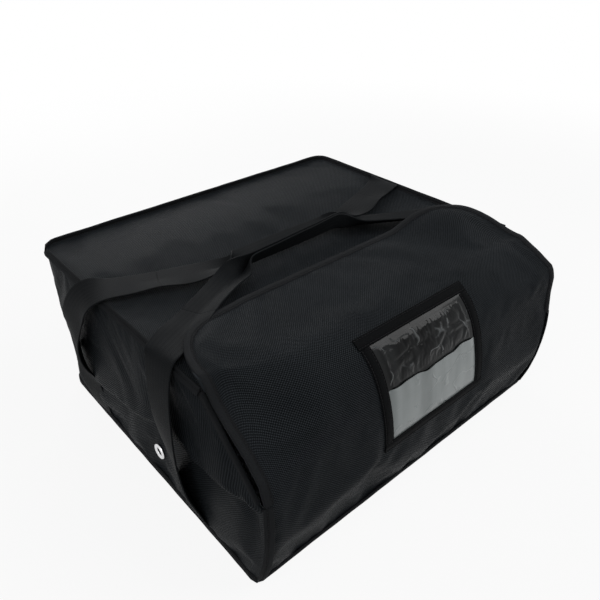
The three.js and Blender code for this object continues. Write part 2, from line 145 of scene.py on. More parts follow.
# One socket of a material, so that shader maths reads as plain sums
class Field:
    def __init__(self, tree, socket=None):
        self.tree = tree
        self.socket = socket

    def node(self, kind, settings=(), inputs=(), output=0):
        made = self.tree.nodes.new(kind)
        for name, value in dict(settings).items():
            if name == "stops":
                self.setStops(made.color_ramp, value)
            else:
                setattr(made, name, value)
        for key, value in dict(inputs).items():
            if isinstance(value, Field):
                self.tree.links.new(value.socket, made.inputs[key])
            else:
                made.inputs[key].default_value = value
        return Field(self.tree, made.outputs[output])

    def setStops(self, ramp, stops):
        while len(ramp.elements) < len(stops):
            ramp.elements.new(0.5)
        for element, (place, shade) in zip(ramp.elements, stops):
            element.position = place
            element.color = (shade, shade, shade, 1)

    def maths(self, operation, *values):
        return self.node("ShaderNodeMath", {"operation": operation}, dict(enumerate((self, *values))))

    def distance(self):
        return self.node("ShaderNodeVectorMath", {"operation": "LENGTH"}, {0: self}, 1)

    def between(self, low, high):
        settings = {"interpolation_type": "SMOOTHSTEP"}
        return self.node("ShaderNodeMapRange", settings, {0: self, 1: low, 2: high, 3: 0.0, 4: 1.0})

    def __add__(self, other):
        return self.maths("ADD", other)

    def __sub__(self, other):
        return self.maths("SUBTRACT", other)

    def __rsub__(self, other):
        return self * -1.0 + other

    def __mul__(self, other):
        return self.maths("MULTIPLY", other)

    __radd__ = __add__
    __rmul__ = __mul__


def newMaterial(name):
    material = bpy.data.materials.new(name)
    material.use_nodes = True
    tree = material.node_tree
    shader = next(node for node in tree.nodes if node.type == "BSDF_PRINCIPLED")
    return material, Field(tree), shader


def setInputs(tree, shader, values):
    for name, value in values.items():
        if isinstance(value, Field):
            tree.tree.links.new(value.socket, shader.inputs[name])
        else:
            shader.inputs[name].default_value = value


def mixShades(tree, share, low, high):
    settings = {"data_type": "RGBA"}
    return tree.node("ShaderNodeMix", settings, {0: share, 6: (*low, 1), 7: (*high, 1)}, 2)


def bump(tree, height, strength, distance):
    return tree.node("ShaderNodeBump", {}, {"Strength": strength, "Distance": distance, "Height": height})


def objectPlace(tree):
    return tree.node("ShaderNodeTexCoord", {}, {}, "Object")


# The piece's own UV map in metres: across the sheet or band, and along it
def clothPlace(tree):
    uv = tree.node("ShaderNodeTexCoord", {}, {}, "UV")
    return [tree.node("ShaderNodeSeparateXYZ", {}, {0: uv}, axis) for axis in (0, 1)]


def cloudy(tree, place, scale, detail=3.0):
    return tree.node("ShaderNodeTexNoise", {}, {"Vector": place, "Scale": scale, "Detail": detail})


fabricLook = {
    "weave": 0.0031,
    "weaveEdges": (0.25, 0.85),
    "weaveShare": 0.75,
    "weaveSheen": 0.26,
    "wearScale": 9.0,
    "wearRoughness": 0.16,
    "dustScale": 70.0,
    "dustRoughness": 0.06,
    "dustRelief": 0.15,
    "dark": (0.0004, 0.0006, 0.0008),
    "light": (0.0225, 0.0258, 0.0292),
    "roughness": 0.51,
    "relief": 0.0006,
    "gloss": 0.02,
}


# Coated cloth with a fine basket weave
def makeFabric(name, look):
    material, tree, shader = newMaterial(name)
    across, along = clothPlace(tree)
    turn = 2 * math.pi / look["weave"]
    warp = (across * turn).maths("SINE")
    weft = (along * turn).maths("SINE")
    weave = (warp * weft * 0.5 + 0.5).between(*look["weaveEdges"])
    place = objectPlace(tree)
    wear = cloudy(tree, place, look["wearScale"])
    dust = cloudy(tree, place, look["dustScale"])
    share = look["weaveShare"]
    patchy = wear * look["wearRoughness"] + dust * look["dustRoughness"]
    setInputs(tree, shader, {
        "Base Color": mixShades(tree, weave * share + wear * (1 - share), look["dark"], look["light"]),
        "Roughness": patchy + look["roughness"] - weave * look["weaveSheen"],
        "Normal": bump(tree, weave + dust * look["dustRelief"], 1.0, look["relief"]),
        "Specular IOR Level": look["gloss"],
    })
    return material


tapeLook = {
    "rib": 0.0011,
    "ribShare": 0.55,
    "zigzag": (0.003, 0.8),
    "wearScale": 25.0,
    "wearRoughness": 0.15,
    "dark": (0.005, 0.0054, 0.006),
    "light": (0.017, 0.0180, 0.0195),
    "roughness": 0.55,
    "relief": 0.00018,
    "gloss": 0.02,
}


# Woven tape: fine ribs across its length and a faint herringbone
def makeTape(name, look):
    material, tree, shader = newMaterial(name)
    across, along = clothPlace(tree)
    width, slope = look["zigzag"]
    turn = 2 * math.pi / look["rib"]
    ribs = ((along + across.maths("PINGPONG", width) * slope) * turn).maths("SINE") * 0.5 + 0.5
    wear = cloudy(tree, objectPlace(tree), look["wearScale"])
    share = look["ribShare"]
    setInputs(tree, shader, {
        "Base Color": mixShades(tree, ribs * share + wear * (1 - share), look["dark"], look["light"]),
        "Roughness": wear * look["wearRoughness"] + look["roughness"],
        "Normal": bump(tree, ribs, 1.0, look["relief"]),
        "Specular IOR Level": look["gloss"],
    })
    return material


webbingLook = {
    **tapeLook,
    "rib": 0.0020,
    "dark": (0.0020, 0.0023, 0.0026),
    "light": (0.0115, 0.0126, 0.0138),
    "roughness": 0.48,
    "relief": 0.00016,
}

# The pocket's frame: a darker copy of the binding tape, the extra darkness being painted shade
shadedFrameLook = {
    **tapeLook,
    "dark": (0.0008, 0.0009, 0.0010),
    "light": (0.0050, 0.0054, 0.0060),
}
fabric = makeFabric("outerFabric", fabricLook)
tape = makeTape("bindingTape", tapeLook)
shadedFrameTape = makeTape("pocketTape", shadedFrameLook)
webbing = makeTape("webbing", webbingLook)


# Plain finishes: two shades that a fine grain mixes, and the roughness at its least and most
grainLooks = {
    "thread": {
        "scale": 900.0,
        "dark": (0.002, 0.002, 0.0024),
        "light": (0.008, 0.008, 0.009),
        "roughness": (0.5, 0.7),
        "fixed": {"Specular IOR Level": 0.1},
    },
    "lining": {
        "scale": 60.0,
        "detail": 6.0,
        "toneScale": 8.0,
        "dark": (0.30, 0.32, 0.345),
        "light": (0.44, 0.46, 0.49),
        "roughness": (0.28, 0.53),
        "relief": (0.6, 0.0008),
        "fixed": {"Metallic": 0.25},
    },
    "nickel": {
        "scale": 420.0,
        "detail": 4.0,
        "dark": (0.62, 0.62, 0.63),
        "light": (0.8, 0.8, 0.81),
        "roughness": (0.16, 0.36),
        "relief": (0.15, 0.0002),
        "fixed": {"Metallic": 1.0},
    },
    "board": {
        "scale": 260.0,
        "detail": 4.0,
        "dark": (0.025, 0.026, 0.028),
        "light": (0.05, 0.052, 0.055),
        "roughness": (0.5, 0.7),
        "relief": (0.4, 0.0003),
    },
    # A near-black matte finish for the disc in the vents: painted shade
    "ventShade": {
        "scale": 300.0,
        "dark": (0.0005, 0.0005, 0.0006),
        "light": (0.002, 0.002, 0.0022),
        "fixed": {"Roughness": 1.0, "Specular IOR Level": 0.0},
    },
}


def makeGrained(name, look):
    material, tree, shader = newMaterial(name)
    place = objectPlace(tree)
    grain = cloudy(tree, place, look["scale"], look.get("detail", 3.0))
    tone = cloudy(tree, place, look["toneScale"]) if "toneScale" in look else grain
    inputs = {"Base Color": mixShades(tree, tone, look["dark"], look["light"])}
    if "roughness" in look:
        least, most = look["roughness"]
        inputs["Roughness"] = grain * (most - least) + least
    if "relief" in look:
        inputs["Normal"] = bump(tree, grain, *look["relief"])
    setInputs(tree, shader, {**inputs, **look.get("fixed", {})})
    return material


thread, lining, nickel, board, ventShade = [makeGrained(name, look) for name, look in grainLooks.items()]

fuzzLook = {
    "scale": 900.0,
    "dark": (0.004, 0.004, 0.005),
    "light": (0.02, 0.02, 0.022),
    "relief": 0.0006,
    "fixed": {"Roughness": 0.95, "Sheen Weight": 0.05, "Specular IOR Level": 0.1},
}


# The loops and hooks of the tape that closes the flap
def makeFuzz(look):
    material, tree, shader = newMaterial("fuzzyTape")
    loops = tree.node("ShaderNodeTexVoronoi", {}, {"Vector": objectPlace(tree), "Scale": look["scale"]})
    setInputs(tree, shader, {
        "Base Color": mixShades(tree, loops, look["dark"], look["light"]),
        "Normal": bump(tree, loops, 1.0, look["relief"]),
        **look["fixed"],
    })
    return material


fuzz = makeFuzz(fuzzLook)


# Soft clear film: the upper part is clear over the black fabric, with painted highlights along its wrinkles,
# and the lower part is painted light grey with streaks, a painted reflection of the white floor over the
# film's own gloss
clearLook = {
    "low": (0.0012, 0.0014, 0.0016),
    "high": (0.075, 0.08, 0.082),
    "crinkleHighlight": 0.85,
    "roughness": 0.1,
    "gloss": 0.1,
    "streaks": (26.0, 4.0, 5.0),
    "streakEdges": (0.35, 0.7),
    "smears": (40.0, 4.0),
    "smearRoughness": 0.1,
    "smearRelief": 0.5,
    "creases": (24.0, 1.5),
    "creaseSharp": 60.0,
    "breaks": (55.0, 2.0),
    "breakEdges": (0.46, 0.60),
    "relief": (0.5, 0.0012),
}
# The lower film: its light grey colour and streaks are a painted reflection of the white floor, over the
# film's own gloss
floorReflectionLook = {
    **clearLook,
    "low": (0.115, 0.13, 0.13),
    "high": (0.21, 0.23, 0.23),
    "crinkleHighlight": 0.12,
    "roughness": 0.24,
    "gloss": 0.4,
}


def makeFilm(name, look):
    material, tree, shader = newMaterial(name)
    place = objectPlace(tree)
    streaks = tree.node("ShaderNodeMapping", {}, {"Vector": place, "Scale": look["streaks"]})
    # Vertical streaks in the colour: painted reflection
    paintedReflection = cloudy(tree, streaks, 1.0).between(*look["streakEdges"])
    smears = cloudy(tree, place, *look["smears"])
    off = (cloudy(tree, place, *look["creases"]) - 0.5).maths("ABSOLUTE")
    broken = cloudy(tree, place, *look["breaks"]).between(*look["breakEdges"])
    # Crease lines: a real bump, and painted highlights along the creases in the colour
    ridgeAndHighlight = (1.0 - off * look["creaseSharp"]).maths("MAXIMUM", 0.0) * broken
    crinkleHighlight = look["crinkleHighlight"]
    setInputs(tree, shader, {
        "Base Color": mixShades(tree, paintedReflection * (1 - crinkleHighlight) + ridgeAndHighlight * crinkleHighlight, look["low"], look["high"]),
        "Roughness": smears * look["smearRoughness"] + look["roughness"],
        "Normal": bump(tree, smears * look["smearRelief"] + ridgeAndHighlight, *look["relief"]),
        "Specular IOR Level": look["gloss"],
    })
    return material


clearFilm = makeFilm("clearFilm", clearLook)
floorReflectionFilm = makeFilm("floorReflectionFilm", floorReflectionLook)
print("materials made")


stageSetup = {
    "floor": 40.0,
    "floorDrop": 0.0004,
    "floorShade": 0.55,
    "floorRoughness": 0.9,
    "shadowKept": 0.10,
    "fadeStart": 0.9,
    "fadeEnd": 2.0,
    "glow": 1.0,
    "worldStrength": 0.22,
}


# The rays that show the white background: seen directly, in gloss or through clear pieces
def seenRays(tree):
    isCamera = tree.node("ShaderNodeLightPath", {}, {}, "Is Camera Ray")
    isGlossy = tree.node("ShaderNodeLightPath", {}, {}, "Is Glossy Ray")
    isThrough = tree.node("ShaderNodeLightPath", {}, {}, "Is Transmission Ray")
    return isCamera.maths("MAXIMUM", isThrough).maths("MAXIMUM", isGlossy)


def addStage():
    deselectAll()
    bpy.ops.mesh.primitive_plane_add(size=stageSetup["floor"], location=(0, 0, -stageSetup["floorDrop"]))
    floor = bpy.context.object
    floor.name = "floor"
    material, tree, shader = newMaterial("paleFloor")
    shade = stageSetup["floorShade"]
    setInputs(tree, shader, {
        "Base Color": (shade, shade, shade, 1),
        "Roughness": stageSetup["floorRoughness"],
    })
    glow = tree.node("ShaderNodeEmission", {}, {"Color": (1, 1, 1, 1), "Strength": stageSetup["glow"]})
    away = objectPlace(tree).distance()
    fade = away.between(stageSetup["fadeStart"], stageSetup["fadeEnd"])
    kept = stageSetup["shadowKept"]
    share = seenRays(tree) * (fade * kept + (1 - kept))
    lit = Field(tree.tree, shader.outputs[0])
    mixed = tree.node("ShaderNodeMixShader", {}, {0: share, 1: lit, 2: glow})
    output = next(node for node in tree.tree.nodes if node.type == "OUTPUT_MATERIAL")
    tree.tree.links.new(mixed.socket, output.inputs["Surface"])
    floor.data.materials.append(material)


def addWorld():
    world = bpy.data.worlds.new("studio")
    bpy.context.scene.world = world
    world.use_nodes = True
    tree = Field(world.node_tree)
    background = next(node for node in world.node_tree.nodes if node.type == "BACKGROUND")
    background.inputs["Color"].default_value = (1, 1, 1, 1)
    level = stageSetup["worldStrength"]
    strength = seenRays(tree) * (1 - level) + level
    world.node_tree.links.new(strength.socket, background.inputs["Strength"])


lampSetup = (
    {"name": "rearSoftbox", "place": (0.35, 1.55, 0.95), "aim": (0, 0, 0.2), "size": 1.6, "power": 16},
    {"name": "kneeSoftbox", "place": (0.9, -0.9, 1.5), "aim": (0, 0, 0.2), "size": 1.2, "power": 20},
    {"name": "leftSoftbox", "place": (-1.1, -0.7, 1.3), "aim": (0, 0, 0.15), "size": 1.2, "power": 13},
)


def addLamps():
    for lamp in lampSetup:
        deselectAll()
        bpy.ops.object.light_add(type="AREA", location=lamp["place"])
        light = bpy.context.object
        light.name = lamp["name"]
        light.data.shape = "DISK"
        light.data.size = lamp["size"]
        light.data.energy = lamp["power"]
        aim = Vector(lamp["aim"]) - Vector(lamp["place"])
        light.rotation_euler = aim.to_track_quat("-Z", "Y").to_euler()


bpy.context.scene.view_settings.view_transform = "Standard"
addStage()
addWorld()
addLamps()
print("stage, lamps and camera set")


# A flat grid whose corners are put where place(u, v) says, with a UV map in metres
def gridSheet(name, columns, rows, place, size, outward=None):
    deselectAll()
    bpy.ops.mesh.primitive_grid_add(x_subdivisions=columns, y_subdivisions=rows, size=1)
    sheet = bpy.context.object
    sheet.name = name
    sheet.data.name = name
    for vertex in sheet.data.vertices:
        vertex.co = place(vertex.co.x + 0.5, vertex.co.y + 0.5)
    for point in sheet.data.uv_layers.active.data:
        point.uv = (point.uv[0] * size[0], point.uv[1] * size[1])
    sheet.data.update()
    if outward is None:
        return sheet
    face = sum((Vector(polygon.normal) for polygon in sheet.data.polygons), Vector())
    if face.dot(Vector(outward)) < 0:
        choose(sheet)
        bpy.ops.object.mode_set(mode="EDIT")
        bpy.ops.mesh.select_all(action="SELECT")
        bpy.ops.mesh.flip_normals()
        bpy.ops.object.mode_set(mode="OBJECT")
    return sheet


def applyModifiers(piece):
    choose(piece)
    for modifier in list(piece.modifiers):
        bpy.ops.object.modifier_apply(modifier=modifier.name)


def readPoints(piece):
    points = np.zeros(len(piece.data.vertices) * 3)
    piece.data.vertices.foreach_get("co", points)
    return points.reshape(-1, 3)


def writePoints(piece, points):
    piece.data.vertices.foreach_set("co", points.astype(np.float32).ravel())
    piece.data.update()


clothSetup = {
    "frames": 16,
    "quality": 6,
    "mass": 0.3,
    "stretch": 20,
    "shear": 10,
    "bending": 3.0,
    "airDamping": 2,
    "growth": 0.012,
    "limit": 0.008,
}


# Lets a sheet grow a little between its sewn edges, so that it buckles as padded fabric does
def settle(sheet, held, **changes):
    setup = {**clothSetup, **changes}
    start = readPoints(sheet)
    group = sheet.vertex_groups.new(name="sewn")
    group.add([int(index) for index in held], 1.0, "REPLACE")
    modifier = sheet.modifiers.new("Settle", "CLOTH")
    cloth = modifier.settings
    cloth.quality = setup["quality"]
    cloth.mass = setup["mass"]
    cloth.tension_stiffness = setup["stretch"]
    cloth.compression_stiffness = setup["stretch"]
    cloth.shear_stiffness = setup["shear"]
    cloth.bending_stiffness = setup["bending"]
    cloth.air_damping = setup["airDamping"]
    cloth.vertex_group_mass = "sewn"
    cloth.shrink_min = -setup["growth"]
    cloth.shrink_max = -setup["growth"]
    cloth.effector_weights.gravity = 0
    modifier.collision_settings.use_collision = False
    modifier.point_cache.frame_start = 1
    modifier.point_cache.frame_end = setup["frames"]
    scene = bpy.context.scene
    for step in range(1, setup["frames"] + 1):
        scene.frame_set(step)
    graph = bpy.context.evaluated_depsgraph_get()
    moved = readPoints(sheet.evaluated_get(graph))
    shift = moved - start
    length = np.linalg.norm(shift, axis=1, keepdims=True)
    limit = setup["limit"]
    tiny = 1e-9
    shift *= np.where(length > tiny, limit * np.tanh(length / limit) / np.maximum(length, tiny), 0)
    sheet.modifiers.remove(modifier)
    sheet.vertex_groups.clear()
    writePoints(sheet, start + shift)
    scene.frame_set(1)
    most = float(np.linalg.norm(shift, axis=1).max())
    print("settled", sheet.name, "moved up to", round(most * 1000, 1), "mm")


def borderOf(sheet):
    counts = {}
    for polygon in sheet.data.polygons:
        for key in polygon.edge_keys:
            counts[key] = counts.get(key, 0) + 1
    return {index for key, count in counts.items() if count == 1 for index in key}


def dress(piece, material, slot, *replaced):
    piece.data.materials.clear()
    piece.data.materials.append(material)
    if replaced:
        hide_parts(*replaced)


# A material for a part that shows as it is in the model
def paintNode(name, material):
    materials = frame["nodes"][name].data.materials
    materials.clear()
    materials.append(material)


def smooth(piece, angle=35):
    choose(piece)
    bpy.ops.object.shade_smooth_by_angle(angle=math.radians(angle))


padding = {"edgeShare": 0.45, "edgeWidth": 0.016}


# The line where the front and the flap are cut apart in the model, though the cloth goes on
def onSplit(point):
    return (frontPoint(point.x, frontSheet["split"]) - point).length < frontSheet["splitReach"]


# How far each corner of a sheet lies from its nearest edge, or from its nearest sewn edge
def edgeReaches(piece, sewnOnly=False):
    border = sorted(borderOf(piece))
    if sewnOnly and piece.name.startswith(("front_", "flap_")):
        border = [index for index in border if not onSplit(piece.data.vertices[index].co)]
    tree = KDTree(len(border))
    for index in border:
        tree.insert(piece.data.vertices[index].co, index)
    tree.balance()
    return [tree.find(vertex.co)[2] for vertex in piece.data.vertices]


def heldEdge(piece, reach):
    return {index for index, found in enumerate(edgeReaches(piece)) if found < reach}


# Draws a lining's sewn edges back from the seams
def pullIn(piece, reaches):
    points = readPoints(piece)
    low, high = points.min(axis=0), points.max(axis=0)
    middle = (low + high) / 2
    size = high - low
    least = liningShape["leastSize"]
    share = np.where(size > least, 1 - 2 * liningShape["inset"] / np.maximum(size, least), 1)
    near = 1 - np.array([ease(reach, 0, liningShape["pull"]) for reach in reaches])[:, None]
    writePoints(piece, points + (middle - points) * (1 - share) * near)


# Weights that let the padding thin out towards a sewn edge
def pinchGroup(piece):
    group = piece.vertex_groups.new(name="padding")
    for index, reach in enumerate(edgeReaches(piece, sewnOnly=True)):
        group.add([index], ease(reach, 0, padding["edgeWidth"]), "REPLACE")
    return group


def thicken(piece, thick, offset=-1.0, pinched=False):
    group = pinchGroup(piece) if pinched else None
    solid = piece.modifiers.new("Solidify", "SOLIDIFY")
    solid.thickness = thick
    solid.offset = offset
    if pinched:
        solid.vertex_group = group.name
        solid.thickness_vertex_group = padding["edgeShare"]
    applyModifiers(piece)
    piece.vertex_groups.clear()


liningShape = {
    "depth": 0.0080,
    "thick": 0.0006,
    "crease": 0.0012,
    "scale": 16.0,
    "inset": 0.004,
    "leastSize": 0.05,
    "taper": 0.03,
    "pull": 0.06,
}


# The lining behind a padded sheet, with small creases of its own
def lineSheet(sheet, name, *replaced):
    copy = sheet.copy()
    copy.data = sheet.data.copy()
    copy.name = name
    copy.data.name = name
    bpy.context.collection.objects.link(copy)
    reaches = edgeReaches(copy, sewnOnly=True)
    normals = [vertex.normal.copy() for vertex in copy.data.vertices]
    for vertex, normal, reach in zip(copy.data.vertices, normals, reaches):
        share = ease(reach, 0, liningShape["taper"])
        depth = liningShape["depth"] * lerp(padding["edgeShare"], 1, share)
        crease = abs(noise.noise(vertex.co * liningShape["scale"])) * liningShape["crease"] * share
        vertex.co -= normal * (depth + crease)
    pullIn(copy, reaches)
    refine(copy)
    thicken(copy, liningShape["thick"])
    smooth(copy, 60)
    dress(copy, lining, "liner", *replaced)
    return copy


def refine(piece, levels=1):
    surface = piece.modifiers.new("Subdivision", "SUBSURF")
    surface.levels = levels
    surface.render_levels = levels
    surface.boundary_smooth = "PRESERVE_CORNERS"
    applyModifiers(piece)


# The line of the front and the flap in Y and Z, by its length from the base
frontShape = {
    "bellyReach": 0.032,
    "bellyShare": 0.5,
    "kneeStartReach": 0.016,
    "kneeStart": 0.172,
    "kneeRun": 0.061,
    "steps": 60,
}


def makeFrontLine():
    foot = np.array((-bag["halfDepth"], 0.0))
    belly = np.array((
        -bag["halfDepth"] - frontShape["bellyReach"],
        frontShape["kneeStart"] * frontShape["bellyShare"],
    ))
    start = np.array((-bag["halfDepth"] - frontShape["kneeStartReach"], frontShape["kneeStart"]))
    slope = (start[0] - belly[0]) / (start[1] - belly[1])
    corner = np.array((start[0] + slope * (bag["flapTop"] - start[1]), bag["flapTop"]))
    end = np.array((start[0] + frontShape["kneeRun"], bag["flapTop"]))
    rear = np.array((bag["flapRear"], bag["flapTop"]))
    steps = np.linspace(0, 1, frontShape["steps"])[:, None]

    def curve(a, b, c):
        return a * (1 - steps) ** 2 + b * 2 * steps * (1 - steps) + c * steps ** 2

    points = np.vstack([curve(foot, belly, start), curve(start, corner, end)[1:], rear])
    lengths = np.concatenate([[0], np.cumsum(np.linalg.norm(np.diff(points, axis=0), axis=1))])
    return points, lengths


linePoints, lineLengths = makeFrontLine()
kneeEnd = float(lineLengths[-2])
lineEnd = float(lineLengths[-1])


def linePoint(length):
    y = float(np.interp(length, lineLengths, linePoints[:, 0]))
    z = float(np.interp(length, lineLengths, linePoints[:, 1]))
    return y, z


def lengthAtHeight(height):
    return float(np.interp(height, linePoints[:-1, 1], lineLengths[:-1]))


hingeLength = lengthAtHeight(bag["hinge"].z)
print("front line", round(hingeLength, 4), round(kneeEnd, 4), round(lineEnd, 4))

# The front and the flap: each end of the flap follows a share of its length with Y and Z
frontSheet = {
    "split": 0.172,
    "splitReach": 0.002,
    "columns": 92,
    "columnBend": 0.82,
    "lowerRows": 30,
    "upperRows": 46,
    "cornerRadius": 0.120,
    "foam": 0.0065,
    "leftStart": 0.150,
    "leftEnd": (
        (0.0, -0.2500, 0.143), (0.2, -0.2425, 0.166), (0.42, -0.2230, 0.186),
        (0.6, -0.1960, 0.204), (0.8, -0.1730, 0.222), (1.0, -0.1560, 0.2443),
    ),
    "rightStart": 0.080,
    "rightEnd": (
        (0.0, -0.2500, 0.143), (0.23, -0.2465, 0.172), (0.43, -0.2455, 0.197),
        (0.54, -0.2405, 0.211), (0.76, -0.2170, 0.2240), (1.0, -0.1880, 0.2370),
    ),
    "cornerLift": 0.026,
    "liftAcross": (0.10, 0.20),
    "liftAlong": (-0.185, -0.100),
    "frontHeld": 0.007,
    "flapHeld": 0.0115,
    "normalStep": 0.002,
}


def flapRearY(x):
    radius = frontSheet["cornerRadius"]
    beyond = max(0.0, abs(x) - (bag["flapHalf"] - radius))
    return bag["flapRear"] - radius + math.sqrt(max(0.0, radius * radius - beyond * beyond))


def flapEnd(x):
    return lineEnd - (bag["flapRear"] - flapRearY(x))


sideEnd = flapEnd(bag["flapHalf"])


# The line that one end of the flap follows, which goes on level past its own corner
def endPoint(stations, length):
    shares, depths, heights = zip(*stations)
    share = (length - hingeLength) / (sideEnd - hingeLength)
    y = float(np.interp(share, shares, depths))
    z = float(np.interp(share, shares, heights))
    return y + max(0.0, length - sideEnd), z


# Where a point of the front or the flap is: X across, and its length along the front line
def frontPoint(x, length):
    y, z = linePoint(length)
    if length <= hingeLength:
        return Vector((x, y, z))
    fall = ease(-x, frontSheet["leftStart"], bag["flapHalf"])
    square = ease(x, frontSheet["rightStart"], bag["flapHalf"])
    for share, stations in ((fall, frontSheet["leftEnd"]), (square, frontSheet["rightEnd"])):
        endY, endZ = endPoint(stations, length)
        y = lerp(y, endY, share)
        z = lerp(z, endZ, share)
    z += frontSheet["cornerLift"] * ease(x, *frontSheet["liftAcross"]) * ease(y, *frontSheet["liftAlong"])
    return Vector((x, y, z))


def frontNormal(x, length):
    step = frontSheet["normalStep"]
    across = frontPoint(x + step, length) - frontPoint(x - step, length)
    along = frontPoint(x, length + step) - frontPoint(x, length - step)
    return across.cross(along).normalized()


def frontAt(x, length, height=0.0):
    return frontPoint(x, length) + frontNormal(x, length) * height


def frontColumn(u):
    bend = frontSheet["columnBend"] * math.pi / 2
    return bag["flapHalf"] * math.sin((2 * u - 1) * bend) / math.sin(bend)


def bendLower(piece):
    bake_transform(piece)


def bendUpper(piece):
    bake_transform(piece)


# The window pocket lies a little askew: its middle shifts to the left on the way up
pocketShape = {
    "half": 0.0905,
    "foot": 0.098,
    "head": 0.257,
    "shift": 0.009,
    "filmSplit": 0.184,
    "margin": 0.006,
}
pocketFoot = lengthAtHeight(pocketShape["foot"])


def pocketMiddle(length):
    share = (length - pocketFoot) / (pocketShape["head"] - pocketFoot)
    return lerp(pocketShape["shift"], -pocketShape["shift"], share)


def underPocket(x, length):
    margin = pocketShape["margin"]
    inside = abs(x - pocketMiddle(length)) < pocketShape["half"] + margin
    return inside and pocketFoot - margin < length < pocketShape["head"] + margin


# The sewn edge and the part under the pocket, which the settling leaves where they are
def heldFront(sheet, start, reach):
    held = heldEdge(sheet, reach)
    uv = sheet.data.uv_layers.active.data
    for loop in sheet.data.loops:
        point = uv[loop.index].uv
        if underPocket(point[0] - bag["flapHalf"], start + point[1]):
            held.add(loop.vertex_index)
    return held


# The columns are closer together towards the ends, and the weave isn't
def evenWeave(sheet):
    width = 2 * bag["flapHalf"]
    for point in sheet.data.uv_layers.active.data:
        point.uv = (frontColumn(point.uv[0] / width) + bag["flapHalf"], point.uv[1])


def buildFront():
    split = frontSheet["split"]
    foot = lengthAtHeight(bag["foot"])
    width = bag["flapHalf"] * 2

    def lower(u, v):
        return frontPoint(frontColumn(u), lerp(foot, split, v))

    def upper(u, v):
        x = frontColumn(u)
        return frontPoint(x, lerp(split, flapEnd(x), v))

    lowerSize = (width, split - foot)
    upperSize = (width, lineEnd - split)
    columns = frontSheet["columns"]
    front = gridSheet("front_panel", columns, frontSheet["lowerRows"], lower, lowerSize, (0, -1, 0))
    flap = gridSheet("flap_panel", columns, frontSheet["upperRows"], upper, upperSize, (0, -1, 1))
    evenWeave(front)
    evenWeave(flap)
    settle(front, heldFront(front, foot, frontSheet["frontHeld"]))
    settle(flap, heldFront(flap, split, frontSheet["flapHeld"]), growth=0.007, limit=0.006)
    lineSheet(front, "front_lining", "front_liner")
    lineSheet(flap, "flap_lining", "flap_front_liner", "flap_top_liner")
    for sheet in (front, flap):
        refine(sheet)
        thicken(sheet, frontSheet["foam"], pinched=True)
        smooth(sheet, 60)
    dress(front, fabric, "outer_fabric", "front_shell", "front_foam")
    dress(
        flap, fabric, "outer_fabric",
        "flap_front_shell", "flap_front_foam", "flap_top_shell", "flap_top_foam",
    )
    bendLower(front)
    bendUpper(flap)
    bendLower(bpy.data.objects["front_lining"])
    bendUpper(bpy.data.objects["flap_lining"])


buildFront()
print("front and flap made")


# The side, back and top walls
wallSetup = {
    "cornerRadius": 0.018,
    "cornerPush": 0.020,
    "pushHeight": 0.085,
    "pushSpread": 0.05,
    "step": 0.0065,
    "sideStep": 0.0048,
    "foam": 0.0065,
    "sideBulge": 0.004,
    "backBulge": 0.004,
    "topSag": 0.004,
    "sagStart": (-0.085, -0.02),
    "sagEnd": (0.04, 0.12),
    "topLimit": 0.0006,
    "rearRise": 0.0045,
    "rearRiseStart": 0.04,
    "riseAcross": 0.4,
    "riseAlong": 1.3,
    "eyelet": (-0.035, 0.049),
    "eyeletPinch": (0.014, 0.055),
    "eyeletHeld": 0.016,
    "sideHeld": 0.009,
    "tapeHeld": -0.08,
}


# The upright rear corners are rounded, and pushed in most in their lower half
def cornerRadius(z):
    away = (z - wallSetup["pushHeight"]) / wallSetup["pushSpread"]
    return wallSetup["cornerRadius"] + wallSetup["cornerPush"] * math.exp(-away ** 2)


def roundCorner(point):
    x, y, z = point
    radius = cornerRadius(z)
    beyondX = abs(x) - (bag["halfWidth"] - radius)
    beyondY = y - (bag["halfDepth"] - radius)
    if beyondX <= 0 or beyondY <= 0:
        return Vector(point)
    reach = max(beyondX, beyondY)
    length = math.hypot(beyondX, beyondY)
    newX = bag["halfWidth"] - radius + beyondX / length * reach
    newY = bag["halfDepth"] - radius + beyondY / length * reach
    return Vector((math.copysign(newX, x), newY, z))


def crown(u, v):
    return math.sqrt(math.sin(math.pi * min(1, max(0, u))) * math.sin(math.pi * min(1, max(0, v))))


mouthSeam = {
    "width": 0.011,
    "thick": 0.0056,
    "seams": (0.003,),
    "footShift": (0.0085, -0.0003),
    "headDrop": 0.004,
    "inset": 0.0042,
    "sink": 0.0016,
    "sideSteps": 20,
    "topSteps": 80,
}
mouthFoot = Vector((
    0,
    linePoint(hingeLength)[0] + mouthSeam["footShift"][0],
    bag["hinge"].z + mouthSeam["footShift"][1],
))


def wallFront(z):
    if z <= mouthFoot.z:
        return linePoint(lengthAtHeight(z))[0]
    share = (z - mouthFoot.z) / (bag["mouthDrop"] - mouthFoot.z)
    return lerp(mouthFoot.y, bag["mouthRear"], share)


def buildSide(name, sign):
    def place(u, v):
        z = lerp(bag["foot"], bag["top"], v)
        y = lerp(wallFront(z), bag["halfDepth"], u)
        pinch = ease(math.dist((y, z), wallSetup["eyelet"]), *wallSetup["eyeletPinch"])
        x = sign * (bag["halfWidth"] + wallSetup["sideBulge"] * crown(u, v) * pinch)
        return roundCorner((x, y, z))

    columns = round(2 * bag["halfDepth"] / wallSetup["sideStep"])
    rows = round(bag["top"] / wallSetup["sideStep"])
    return gridSheet(name, columns, rows, place, (2 * bag["halfDepth"], bag["top"]), (sign, 0, 0))


